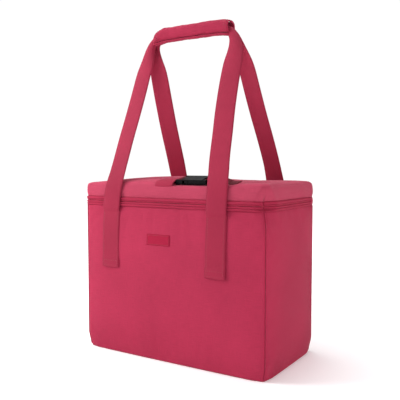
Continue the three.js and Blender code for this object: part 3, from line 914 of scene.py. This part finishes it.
# ---- Lid ----
LID_SWELL = 0.8
BAND_ROWS = 9
BAND_BULGE = 1.9 * MM
BAND_TUCK = 0.9 * MM  # how far the band is drawn in at the zipper
BAND_WAVE = 0.9 * MM
GROOVE_PERCENT = 2.2  # the ring that the rim's seam runs along
RIM_GROOVE = 0.55 * MM
# How far each ring of the cover is from the rim to the middle line, in percent: closer over the shoulder.
RING_PERCENTS = [1.0, GROOVE_PERCENT, 3.4, 5.2, 7.6, 10.6, 14.5, *np.linspace(20, 97, 16)]
BUCKLE_BED = 324.2 * MM  # the cover is pressed down to this height under the buckle
CREST_X = -48 * MM  # where the lid stands highest
CREST_RISE = 6.5 * MM
CREST_LEFT = 92 * MM  # how far the crest spreads to each side
CREST_RIGHT = 62 * MM
SHOULDER_RISE = 6.0 * MM
SHOULDER = 13 * MM
CREASE_X = 126 * MM  # a crease in front, to the right of the buckle
CREASE_DEPTH = 2.6 * MM
CREASE_WIDTH = 9 * MM
LEFT_DROP = 2.8 * MM  # how much lower the left end is
BED_SLOPE = 0.2126  # the buckle's tilt
BED_LEFT, BED_RIGHT, BED_BACK = 2 * MM, 122 * MM, -50 * MM


def lid_height(x, y, reach):
    """The lid's pillow: a quick shoulder inside the rim, then a low crown that is fuller on the left."""
    t = min(max(reach / SHOULDER, 0), 1)
    rise = math.sqrt(1 - (1 - t) ** 2)
    width = CREST_LEFT if x < CREST_X else CREST_RIGHT
    crest = CREST_RISE * math.exp(-((x - CREST_X) / width) ** 2)
    across = max(0.0, 1 - ((y - CENTRE_Y) / HALF_DEPTH) ** 2)
    crease = -CREASE_DEPTH * math.exp(-((x - CREASE_X) / CREASE_WIDTH) ** 2)
    crease *= smooth((-y - 8 * MM) / (50 * MM))
    sag = 1.2 * MM * pucker(x, y, 0, 13.0)
    low_end = LEFT_DROP * smooth((-105 * MM - x) / (75 * MM))
    height = LID_EDGE + rise * (SHOULDER_RISE - low_end + crest * across ** 0.5 + crease + sag)
    bed = BUCKLE_BED + BED_SLOPE * (y - BUCKLE_AT[1])
    pressed = smooth((x - BED_LEFT) / (12 * MM)) * smooth((BED_RIGHT - x) / (16 * MM))
    pressed *= smooth((BED_BACK - y) / (9 * MM))
    return height - max(height - bed, 0) * float(pressed)


def lid_rings(walk):
    """Rings from the rim in to the lid's middle line, hip-roof fashion."""
    rim = walk.row(LID_EDGE, 0.5 * MM)[:, :2]
    middle = np.column_stack([np.clip(walk.at[:, 0] / CORNER_X, -1, 1) * CORNER_X * 0.5,
                              np.full(len(rim), CENTRE_Y)])
    span = np.linalg.norm(middle - rim, axis=1)
    rings, cloth = [], []
    for percent in RING_PERCENTS:
        share = percent / 100
        plan = rim + (middle - rim) * share
        groove = -RIM_GROOVE if percent == GROOVE_PERCENT else 0.0
        ring = [(x, y, lid_height(x, y, share * d) + groove) for (x, y), d in zip(plan, span)]
        rings.append(np.array(ring))
        cloth.extend((x, y, 0) for x, y in plan)
    return rings, cloth


def make_lid():
    walk = all_round(step=3.6 * MM)
    total = len(walk.at)
    rows, cloth = [], []
    for i in range(BAND_ROWS):
        t = i / (BAND_ROWS - 1)
        z = LID_BASE - 0.4 * MM + (LID_EDGE - LID_BASE) * t
        out = BAND_BULGE * math.sin(math.pi * min(t * 1.05, 1)) ** 0.7 - BAND_TUCK * (1 - t) - 0.2 * MM * t
        row = walk.row(z, -out)
        lift = np.array([pucker(p[0], p[1], p[2] * 0.6, 30.0) for p in row]) * BAND_WAVE
        row[:, :2] += walk.out * (lift * math.sin(math.pi * t))[:, None]
        rows.append(row)
        cloth.extend((u, z, 0) for u in walk.along)
    rings, ring_cloth = lid_rings(walk)
    co = np.concatenate(rows + rings)
    faces = grid_faces(BAND_ROWS + len(rings), total, False, True)
    last = (BAND_ROWS + len(rings) - 1) * total
    mirror = int(np.argmin(np.abs(walk.at[:, 0] - walk.at[0, 0]) + np.abs(walk.at[:, 1] - BACK)))
    start = next(i for i in range(total) if i == (mirror - i) % total or i == (mirror - i - 1) % total)
    joined_up = set()
    for k in range(total // 2 + 1):
        i, j = (start + k) % total, (start + k + 1) % total
        face = list(dict.fromkeys((j, (mirror - j) % total, (mirror - i) % total, i)))
        if len(face) > 2 and frozenset(face) not in joined_up:
            joined_up.add(frozenset(face))
            faces.append(tuple(last + index for index in face))
    cover = piece("lid_cover", co, faces, LID_SHELL_PAINTED_SHEEN, cloth + ring_cloth)
    held = np.arange(len(co)) < (BAND_ROWS + 3) * total
    settle(cover, held, 1.6, 0.001, 2.5 * MM)
    thicken(cover, CLOTH, 1)
    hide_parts("lid_cover")
    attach(cover, "lid")
    make_lid_inside()
    return cover


def make_lid_inside():
    ceiling = high("lid_liner").z - 1.2 * MM
    inset = 3.6 * MM
    made = sheet("lid_liner", inset, LID_SWELL,
                 lambda x, y: ceiling - abs(pucker(x, y, 0, 15.0)) * LINING_FOLD, LINING, FILM,
                 corner=18 * MM, down=True)
    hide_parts("lid_liner")
    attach(made, "lid")
    heights = np.linspace(low("lid_liner").z, ceiling + 0.5 * MM, 5)
    profile = [(inset - 1.2 * MM, z) for z in heights] + [(inset, z) for z in reversed(heights)]
    skirt = swept("lid_liner_skirt", all_round(), profile, FILM, 0.3 * MM)
    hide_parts("lid_liner")
    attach(skirt, "lid")
    foam = sheet("lid_foam", 9 * MM, LID_SWELL, lambda x, y: lid_height(x, y, 40 * MM) - 5.5 * MM, 6 * MM,
                 FOAM, 8 * MM, 24 * MM)
    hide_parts("lid_foam")
    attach(foam, "lid")


# ---- Surfaces and stitches ----
def surface(made):
    """What the cloth of a piece offers to things laid on it: the point met along a line of sight."""
    mesh = made.data
    tree = BVHTree.FromPolygons([v.co for v in mesh.vertices], [p.vertices for p in mesh.polygons])

    def meet(origin, direction):
        at, normal, _, _ = tree.ray_cast(Vector(origin), Vector(direction))
        return np.array(at), np.array(normal)

    return meet


STITCHES = {}  # the stitches laid so far, by body
STITCH_RINGS = (  # share of the stitch's length, thickness, and height above the cloth
    (0.0, 0.35, -0.5), (0.14, 0.9, 0.1), (0.5, 1.0, 0.35), (0.86, 0.9, 0.1), (1.0, 0.35, -0.5),
)


def stitch(body, points, normals, pitch=STITCH_PITCH, length=STITCH_LENGTH, radius=0.42 * MM):
    """Lays stitches along a line of points; each is a short thread sunk a little into the cloth."""
    points, normals = np.array(points), np.array(normals)
    along = lengths(points)
    run = STITCHES.setdefault(body, [])
    count = int(along[-1] // pitch)
    start = (along[-1] - count * pitch + (pitch - length)) / 2
    sides = 6
    for k in range(count):
        ends = []
        for s in (start + k * pitch, start + k * pitch + length):
            at = np.array([np.interp(s, along, points[:, i]) for i in range(3)])
            out = np.array([np.interp(s, along, normals[:, i]) for i in range(3)])
            ends.append((at, unit(out)))
        (a, out), (b, _) = ends
        side = np.cross(out, unit(b - a))
        ring_points = []
        for t, size, lift in STITCH_RINGS:
            centre = a + (b - a) * t + out * radius * lift
            for i in range(sides):
                angle = 2 * math.pi * i / sides
                spoke = side * math.cos(angle) + out * math.sin(angle)
                ring_points.append(centre + spoke * radius * size)
        run.append((ring_points, tube_faces(len(STITCH_RINGS), sides), [(0, 0, 0)] * len(ring_points)))


def make_stitches():
    for body, run in STITCHES.items():
        points, faces, cloth = joined(run)
        made = piece(body + "_stitching", points, faces, THREAD, cloth)
        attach(made, body)


# ---- Webbing ----
def resampled(nodes, spacing, passes):
    """Nodes of (x, y, z, more...) as evenly spaced, smoothed rows."""
    nodes = np.array(nodes, float)
    along = lengths(nodes[:, :3])
    places = np.linspace(0, along[-1], max(3, round(along[-1] / spacing) + 1))
    rows = np.column_stack([np.interp(places, along, nodes[:, i]) for i in range(nodes.shape[1])])
    for _ in range(passes):
        rows[1:-1] = (rows[:-2] + 2 * rows[1:-1] + rows[2:]) / 4
    return rows


def frames_along(points, across, end_across=None, free=None):
    """The direction across the webbing at each point, carried along without twist.
    Any twist left at the far end is spread over the free stretch."""
    ahead = np.gradient(points, axis=0)
    ahead /= np.linalg.norm(ahead, axis=1)[:, None]
    carried = [np.array(across, float)]
    for i in range(1, len(points)):
        axis = np.cross(ahead[i - 1], ahead[i])
        size = np.linalg.norm(axis)
        v = carried[-1]
        if size > 1e-9:
            axis /= size
            angle = math.atan2(size, float(ahead[i - 1] @ ahead[i]))
            v = v * math.cos(angle) + np.cross(axis, v) * math.sin(angle)
            v = v + axis * (axis @ carried[-1]) * (1 - math.cos(angle))
        v = v - ahead[i] * (v @ ahead[i])
        carried.append(unit(v))
    carried = np.array(carried)
    if end_across is not None:
        last, goal = carried[-1], np.array(end_across, float)
        goal = goal - ahead[-1] * (goal @ ahead[-1])
        left = math.atan2(float(ahead[-1] @ np.cross(last, goal)), float(last @ goal))
        share = smooth((np.arange(len(points)) - free[0]) / (free[1] - free[0]))
        for i, t in enumerate(share):
            v, axis = carried[i], ahead[i]
            carried[i] = v * math.cos(left * t) + np.cross(axis, v) * math.sin(left * t)
    return ahead, carried


def turned(vectors, axes, angles):
    """Each vector turned about its own axis."""
    c, s = np.cos(angles)[:, None], np.sin(angles)[:, None]
    return vectors * c + np.cross(axes, vectors) * s


def ribbon(points, across, ahead, width, turns, thickness, crown=0.0):
    """A closed strip of webbing: at each point a section as wide as the webbing, curled by its turn."""
    out = np.cross(across, ahead)
    columns, flatness, tip = 13, 0.62, 0.35 * thickness
    rows, cloth = [], []
    along = lengths(points)
    for i, centre in enumerate(points):
        turn = turns[i]
        face, back, shares = [], [], []
        for k in range(columns):
            s = (k / (columns - 1) - 0.5) * width
            if turn > 0.02:
                radius = width / turn
                x = radius * math.sin(s / radius)
                depth = -radius * (1 - math.cos(s / radius)) * flatness
                nx, nn = math.sin(s / radius), math.cos(s / radius)
            else:
                x, depth, nx, nn = s, -crown * (2 * s / width) ** 2, 0.0, 1.0
            shift = centre + across[i] * x + out[i] * depth
            normal = across[i] * nx + out[i] * nn
            edge = 0.72 if k in (0, columns - 1) else 1.0
            face.append(shift + normal * thickness / 2 * edge)
            back.append(shift - normal * thickness / 2 * edge)
            shares.append(s)
        lead = (face[0] + back[0]) / 2 - unit(face[1] - face[0]) * tip
        tail = (face[-1] + back[-1]) / 2 + unit(face[-1] - face[-2]) * tip
        rows.append(face + [tail] + back[::-1] + [lead])
        cloth.extend((s, along[i], 0) for s in shares + [width / 2] + shares[::-1] + [-width / 2])
    return [p for row in rows for p in row], tube_faces(len(rows), len(rows[0])), cloth


WEB_WIDTH = 39 * MM
WEB_THICK = 2.0 * MM
SEWN_LOW = 164 * MM
SEWN_HIGH = 270.5 * MM
FOLD = 0.75 * MM  # radius of the fold at a sewn foot
UNDER_NODES = 6  # nodes of the turned-under end
FOLD_NODES = 5
LOOP_SPACING = 3.2 * MM
LOOP_PASSES = 26  # how often the loop's path is smoothed
LOOP_WANDER = 1.6 * MM
FOLD_LIFT = 2.4 * MM  # each leg hangs this far in front of its sewn stretch
GATHERED = 3.6 * MM  # how far off the middle each loop lies inside the grip
GRIP_Z = (high("grip_cover").z + low("grip_cover").z) / 2
# A leg's nodes from the lid's rim up to the grip: height, way inward and curl in degrees.
LEG = [
    (281, 0, 0), (321, 0, 0), (345, 8, 0), (370, 17, 4), (410, 31, 8), (450, 44, 12), (495, 59.5, 20),
    (540, 75, 52), (562, 83.5, 120), (580, 90.5, 205), (592, 96, 275), (600, 98.5, 315), (605.5, 99.5, 330),
    (608, 99.5, 330), (608.5, 99.5, 330),
]
# How far each free leg is turned about its own length, in degrees.
LEG_TWIST = {"front_left": -9, "front_right": 0, "back_left": 6, "back_right": -12}
# Where each leg runs along X at those nodes.
LEG_X = {
    "front_left": (-125, -117.5, -114, -112.5, -111, -107.5, -105.5, -105.3, -106.5, -107, -106, -102.5,
                   -95, -85, -60),
    "front_right": (104.5, 107, 105, 101, 98.3, 95.5, 93.7, 92, 90, 86, 82, 78, 71, 62, 40),
    "back_left": (-113, -115, -115.5, -115, -115.3, -116, -115, -112, -109, -106.5, -105, -101,
                  -94, -85, -60),
    "back_right": (113, 113, 111.5, 109.5, 104.5, 98.5, 93.5, 89.3, 87, 83, 80, 76.5, 70, 61, 38),
}


def sewn_end(x, meet, facing, rising):
    """The stretch sewn to the wall: folded under at its foot, then flat up the wall."""
    def skin(z):
        at, _ = meet((x, facing * 0.3, z), (0, -facing, 0))
        return facing * at[1]

    nodes = []
    turn_z = SEWN_LOW + 2.4 * MM
    for z in np.linspace(SEWN_LOW + 17 * MM, turn_z, UNDER_NODES):
        nodes.append((x, skin(z) + 0.9 * MM, z))
    base = skin(turn_z) + 0.9 * MM
    for i in range(1, FOLD_NODES + 1):
        angle = math.pi * i / (FOLD_NODES + 1)
        nodes.append((x, base + FOLD * (1 - math.cos(angle)), SEWN_LOW + 2.2 * MM - FOLD * math.sin(angle)))
    for z in np.linspace(turn_z, SEWN_HIGH, 38):
        doubled = 1 - smooth((z - SEWN_LOW - 15 * MM) / (9 * MM))
        nodes.append((x, skin(z) + (1.2 + 1.2 * doubled) * MM, z))
    nodes = [(a, facing * b, c) for a, b, c in nodes]
    return nodes if rising else nodes[::-1]


def leg_nodes(key, facing, stand_off):
    """One free leg as rows of (x, y, z, curl, twist), from the lid's rim to the middle of the grip."""
    most_inward = LEG[-1][1]
    rows = []
    for (z, inward, turn), x in zip(LEG, LEG_X[key]):
        y = stand_off - inward / most_inward * (stand_off - GATHERED)
        twist = LEG_TWIST[key] * smooth((z - 300) / 50) * (1 - smooth((z - 570) / 35))
        rows.append((x * MM, facing * y, z * MM, math.radians(turn), math.radians(float(twist))))
    return rows


def make_loop(end, facing, panel, stand_off):
    """One carry loop: a single webbing, sewn down at both ends and gathered inside the grip."""
    meet = surface(panel)
    left, right = (leg_nodes(end + side, facing, stand_off) for side in ("_left", "_right"))
    first = sewn_end(left[0][0], meet, facing, True)
    last = sewn_end(right[0][0], meet, facing, False)
    middle = [(*first[-1], 0.0, 0.0)] + left + right[::-1] + [(*last[0], 0.0, 0.0)]
    rows = resampled(middle, LOOP_SPACING, LOOP_PASSES)
    points = np.array([*first[:-1], *[tuple(r[:3]) for r in rows], *last[1:]])
    turns, twists = (np.concatenate([np.zeros(len(first) - 1), rows[:, i], np.zeros(len(last) - 1)])
                     for i in (3, 4))
    lower, upper = len(first), len(first) + len(rows)
    ahead, carried = frames_along(points, (-facing, 0, 0), (facing, 0, 0), (lower + 8, upper - 8))
    carried = turned(carried, ahead, twists * np.sign(ahead[:, 2] + 1e-9))
    wander = np.array([noise.noise((p[0] * 9, facing * 3.0, p[2] * 9)) for p in points])
    places = np.arange(len(points))
    free = smooth((places - lower) / 20) * smooth((upper - places) / 20)
    points = points + np.cross(carried, ahead) * (wander * free * LOOP_WANDER)[:, None]
    points[:, 1] += facing * smooth((points[:, 2] - SEWN_HIGH) / (2.2 * MM)) * FOLD_LIFT
    flat, faces, cloth = ribbon(points, carried, ahead, WEB_WIDTH, turns, WEB_THICK, 0.35 * MM)
    made = piece(end + "_loop", flat, faces, WEBBING, cloth)
    sew_down(first, facing)
    sew_down(last[::-1], facing)
    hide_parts(end + "_handle_webbing", end + "_handle_sewn_left", end + "_handle_sewn_right")
    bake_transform(made)


def sew_down(nodes, facing):
    """Stitching round the sewn stretch: both edges, and two rows at the foot."""
    x = nodes[0][0]
    outer = np.array(nodes[UNDER_NODES + FOLD_NODES:])
    depths = outer[:, 1] + facing * (WEB_THICK / 2 - 0.42 * MM)

    def line(x0, z0, x1, z1, steps=30):
        xs, zs = x + np.linspace(x0, x1, steps), np.linspace(z0, z1, steps)
        points = np.column_stack([xs, np.interp(zs, outer[:, 2], depths), zs])
        stitch("body", points, [(0, facing, 0)] * steps)

    side, foot, top = 16 * MM, SEWN_LOW + 4.5 * MM, SEWN_HIGH - 1.5 * MM
    for edge in (-side, side):
        line(edge, foot, edge, top)
    for z in (foot, foot + 9 * MM):
        line(-side, z, side, z)


# ---- Grip ----
GRIP_X0 = low("grip_cover").x
GRIP_X1 = high("grip_cover").x
GRIP_DEPTH = -low("grip_cover").y
GRIP_HEIGHT = high("grip_cover").z - GRIP_Z + 1.0 * MM
GRIP_COLUMNS = 84
GRIP_SQUARENESS = 0.82  # 1 is an ellipse, less is boxier
DROOP_LEFT, DROOP_RIGHT = 3.6 * MM, 2.2 * MM  # how far the wrap's ends hang down
DROOP_LEFT_SHARE, DROOP_RIGHT_SHARE = 0.14, 0.12
GRIP_LEAN = 5 * MM  # the wrap's left end is cut at a slant
HEM = 0.9 * MM


def grip_centre(t):
    """The wrap's middle line: nearly level, with both ends drooping towards the legs."""
    droop = DROOP_LEFT * smooth((DROOP_LEFT_SHARE - t) / DROOP_LEFT_SHARE) ** 1.3
    droop += DROOP_RIGHT * smooth((t - 0.88) / DROOP_RIGHT_SHARE) ** 1.3
    return GRIP_Z - 1.6 * MM - droop + 1.0 * MM * math.sin(math.pi * t)


def grip_point(t, angle, inset, slack=0.0):
    """A point of the wrap: t along it, angle from the top round the front, inset from its surface."""
    a = math.radians(angle)
    c, s = math.cos(a), math.sin(a)
    end = min(t, 1 - t) * (GRIP_X1 - GRIP_X0)
    hem = 1 - HEM / GRIP_HEIGHT * (1 - smooth(end / (5 * MM)))
    depth = (GRIP_DEPTH - inset) * hem * math.copysign(abs(s) ** GRIP_SQUARENESS, s)
    height = (GRIP_HEIGHT - inset) * hem * math.copysign(abs(c) ** GRIP_SQUARENESS, c)
    x = GRIP_X0 + (GRIP_X1 - GRIP_X0) * t
    lean = GRIP_LEAN * max((DROOP_LEFT_SHARE - t) / DROOP_LEFT_SHARE, 0) * (height / GRIP_HEIGHT)
    fold = noise.noise((x * 60, a * 1.3, 2.0)) * 0.8 * MM + noise.noise((x * 170, a * 3, 5.0)) * 0.3 * MM
    size = 1 + (fold + slack) / GRIP_HEIGHT
    return (x + lean, -depth * size, grip_centre(t) + height * size)


def grip_shell(name, layers, ts, material, turned_over=True):
    """A closed sheet of the wrap through layers of (angle, inset, slack), from end to end of ts."""
    points = [grip_point(t, angle, inset, slack) for angle, inset, slack in layers for t in ts]
    span = GRIP_X1 - GRIP_X0
    cloth = [(t * span, math.radians(angle) * 13 * MM, 0) for angle, _, _ in layers for t in ts]
    faces = bar_faces(len(layers), len(ts))
    if turned_over:
        faces = [f[::-1] for f in faces]
    return piece(name, points, faces, material, cloth)


def grip_sheet(name, angles, inset, thickness, material, ends=(0.0, 1.0)):
    """A padded sheet of the wrap between two angles: outer cloth, inner cloth and turned-in edges."""
    layers = []
    for k, angle in enumerate(angles):
        share = math.sin(math.pi * k / (len(angles) - 1)) ** 0.35
        layers.append((angle, inset, (share - 1) * HEM))
    back = [(angle, inset + thickness, 0.0) for angle in reversed(angles)]
    return grip_shell(name, layers + back, np.linspace(*ends, GRIP_COLUMNS), material)


def stitch_grip(places):
    """A row of stitches through (t, angle) places of the wrap."""
    points = np.array([grip_point(t, angle, 0.0) for t, angle in places])
    above = np.array([grip_point(t, angle, -1 * MM) for t, angle in places])
    stitch("front_handle", points, above - points)


def make_grip():
    cover = grip_sheet("grip_cover", np.linspace(3, 176, 26), 0.0, 1.7 * MM, GRIP_SHELL)
    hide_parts("grip_cover")
    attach(cover, "front_handle")
    pad = grip_sheet("grip_pad", np.linspace(4, 170, 22), 2.0 * MM, 2.2 * MM, FOAM, (0.02, 0.98))
    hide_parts("grip_pad")
    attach(pad, "front_handle")
    flap = grip_flap()
    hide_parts("grip_flap")
    blend_flap(flap)
    for name, angles, inset, body in (("grip_loop_tape", np.linspace(150, 178, 6), 1.9 * MM, None),
                                      ("grip_hook_tape", np.linspace(150, 178, 6), -1.0 * MM, "flap")):
        tape = grip_sheet(name, angles, inset, 0.7 * MM, HOOKS, (0.03, 0.985))
        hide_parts(name)
        if body:
            blend_flap(tape)
        else:
            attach(tape, "front_handle")
    for t in (0.022, 1 - 0.022, 0.05, 1 - 0.05):
        stitch_grip([(t, angle) for angle in np.linspace(12, 172, 40)])
    stitch_grip([(t, 171) for t in np.linspace(0.05, 0.95, 80)])


def blend_flap(made):
    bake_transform(made)


def grip_flap():
    """The flap from the top edge, round the back and under the cover, with a thinner tongue."""
    thickness = 4.0 * MM
    outer, inner = [], []
    for angle in np.linspace(-2, -178, 26):
        outer.append((angle, 0.0, 0.0))
        inner.append((angle, thickness, 0.0))
    for angle in np.linspace(-184, -216, 7):
        drop = smooth((-angle - 178) / 10)
        outer.append((angle, -3.0 * MM * drop, 0.0))
        inner.append((angle, -1.3 * MM * drop + thickness * (1 - drop), 0.0))
    ts = np.linspace(0, 1, GRIP_COLUMNS)
    return grip_shell("grip_flap", outer + inner[::-1], ts, GRIP_SHELL, turned_over=False)


# ---- Label, tab and buckle ----
def make_label(panel):
    """A blank woven label with a row of small stitches along its border."""
    meet = surface(panel)

    def off_wall(x, z, out):
        at, _ = meet((x, -0.3, z), (0, 1, 0))
        return x, at[1] - out, z

    x0, x1 = low("front_label").x, high("front_label").x
    z0, z1 = low("front_label").z, high("front_label").z
    columns, rows, round_off = 34, 15, 1.2 * MM
    points = []
    for z in np.linspace(z0, z1, rows):
        for x in np.linspace(x0, x1, columns):
            edge = min(x - x0, x1 - x, z - z0, z1 - z)
            points.append(off_wall(x, z, 1.15 * MM - 0.35 * MM * (1 - smooth(edge / round_off))))
    cloth = [(x, z, 0) for x, _, z in points]
    made = piece("front_label", points, grid_faces(rows, columns), LABEL, cloth)
    thicken(made, 0.8 * MM, 1)
    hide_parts("front_label")
    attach(made, "body")
    inset, steps = 2.0 * MM, 20
    left, right, bottom, top = x0 + inset, x1 - inset, z0 + inset, z1 - inset
    corners = [(left, bottom), (right, bottom), (right, top), (left, top), (left, bottom)]
    for (ax, az), (bx, bz) in zip(corners, corners[1:]):
        line = zip(np.linspace(ax, bx, steps), np.linspace(az, bz, steps))
        run = [off_wall(x, z, 1.2 * MM) for x, z in line]
        stitch("body", run, [(0, -1, 0)] * steps, 2.7 * MM, 1.9 * MM, 0.26 * MM)


def make_tab(top):
    """The webbing loop in the front rim seam, lying back over the lid's shoulder."""
    meet = surface(top)
    x = -5.5 * MM
    lift = 1.9 * MM
    rim = FRONT - FRONT_BOW * LID_SWELL
    nodes = [(x, rim + 0.9 * MM, LID_EDGE - 2 * MM), (x, rim - 0.2 * MM, LID_EDGE + 0.8 * MM)]
    for y in np.linspace(FRONT + 0.5 * MM, -60 * MM, 20):
        at, normal = meet((x, y, 0.5), (0, 0, -1))
        nodes.append(tuple(at + normal * math.copysign(lift, normal[2])))
    points = resampled(nodes, 1.5 * MM, 4)[:, :3]
    ahead, across = frames_along(points, (1, 0, 0))
    flat, faces, cloth = ribbon(points, across, ahead, 37 * MM, np.zeros(len(points)), 2.0 * MM, 0.4 * MM)
    made = piece("lid_tab", flat, faces, WEBBING, cloth)
    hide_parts("lid_tab")
    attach(made, "lid")


# The straps' paths in the buckle's own frame, in millimetres: along it and above it.
BUCKLE_STRAPS = {
    "buckle_short_strap": [(-52, -3.6), (-40, -3.6), (-27.5, -3.6), (-25, -1.8), (-25, 1.8),
                           (-27.5, 3.6), (-33, 3), (-39, -1), (-52, -1.6)],
    "buckle_long_strap": [(86, -3.7), (72, -3.5), (62, 0.2), (50, 3.6), (38, 4.8), (31, 3.9),
                          (27.5, 3.6), (25, 1.8), (25, -1.8), (27.5, -3.6), (34, -3.7), (56, -3.7)],
}


def buckle_place(x, y, z):
    """A point of the buckle's own frame, in millimetres, put in its place on the lid."""
    c, s = math.cos(BUCKLE_TILT), math.sin(BUCKLE_TILT)
    return np.array([BUCKLE_AT[0] + x * MM, BUCKLE_AT[1] + (y * c - z * s) * MM,
                     BUCKLE_AT[2] + (y * s + z * c) * MM])


def make_buckle_straps():
    """Two straps threaded round the buckle's bars."""
    sideways = unit(buckle_place(0, 1, 0) - buckle_place(0, 0, 0))
    for name, path in BUCKLE_STRAPS.items():
        points = resampled([tuple(buckle_place(x, 0, z)) for x, z in path], 1.0 * MM, 3)
        ahead, across = frames_along(points, sideways)
        flat, faces, cloth = ribbon(points, across, ahead, 24.5 * MM, np.zeros(len(points)), 1.5 * MM)
        made = piece(name, flat, faces, BUCKLE_WEB_PAINTED_SHADE, cloth)
        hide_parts(name)
        if name == "buckle_long_strap":
            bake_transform(made)
        else:
            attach(made, "lid")


def weld(made):
    """Joins points that lie on each other."""
    mesh = bmesh.new()
    mesh.from_mesh(made.data)
    bmesh.ops.remove_doubles(mesh, verts=mesh.verts, dist=1e-6)
    mesh.to_mesh(made.data)
    mesh.free()


def soften(made, bevel):
    """Rounds a hard part's edges a little."""
    edge = made.modifiers.new("edges", "BEVEL")
    edge.width = bevel
    edge.segments = 3
    edge.limit_method = "ANGLE"
    edge.angle_limit = math.radians(35)


def make_hard_parts():
    """The buckle is the frame's own, with softened edges; the slider and pull are moved out to the cloth."""
    for node in ("buckle_socket", "buckle_plug", "buckle_prong_front", "buckle_prong_back"):
        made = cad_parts[node]
        made.data.materials.clear()
        made.data.materials.append(BLACK)
        soften(made, 0.6 * MM)
    for node, body, out in (("zipper_slider", "slider", SLIDER_OUT), ("zipper_pull", "pull", PULL_OUT)):
        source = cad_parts[node].data
        points = [(v.co.x - out, v.co.y, v.co.z) for v in source.vertices]
        faces = [tuple(f.vertices) for f in source.polygons]
        made = piece(node + "_metal", points, faces, METAL, [(0, 0, 0)] * len(points), True)
        weld(made)
        soften(made, 0.35 * MM)
        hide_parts(node)
        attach(made, body)


make_camera()
make_studio()
walls = make_body()
make_zipper()
lid_top = make_lid()
make_loop("front", -1, walls["front"], 105.5 * MM)
make_loop("back", 1, walls["back"], 107.5 * MM)
make_grip()
make_label(walls["front"])
make_tab(lid_top)
make_buckle_straps()
make_hard_parts()
make_stitches()
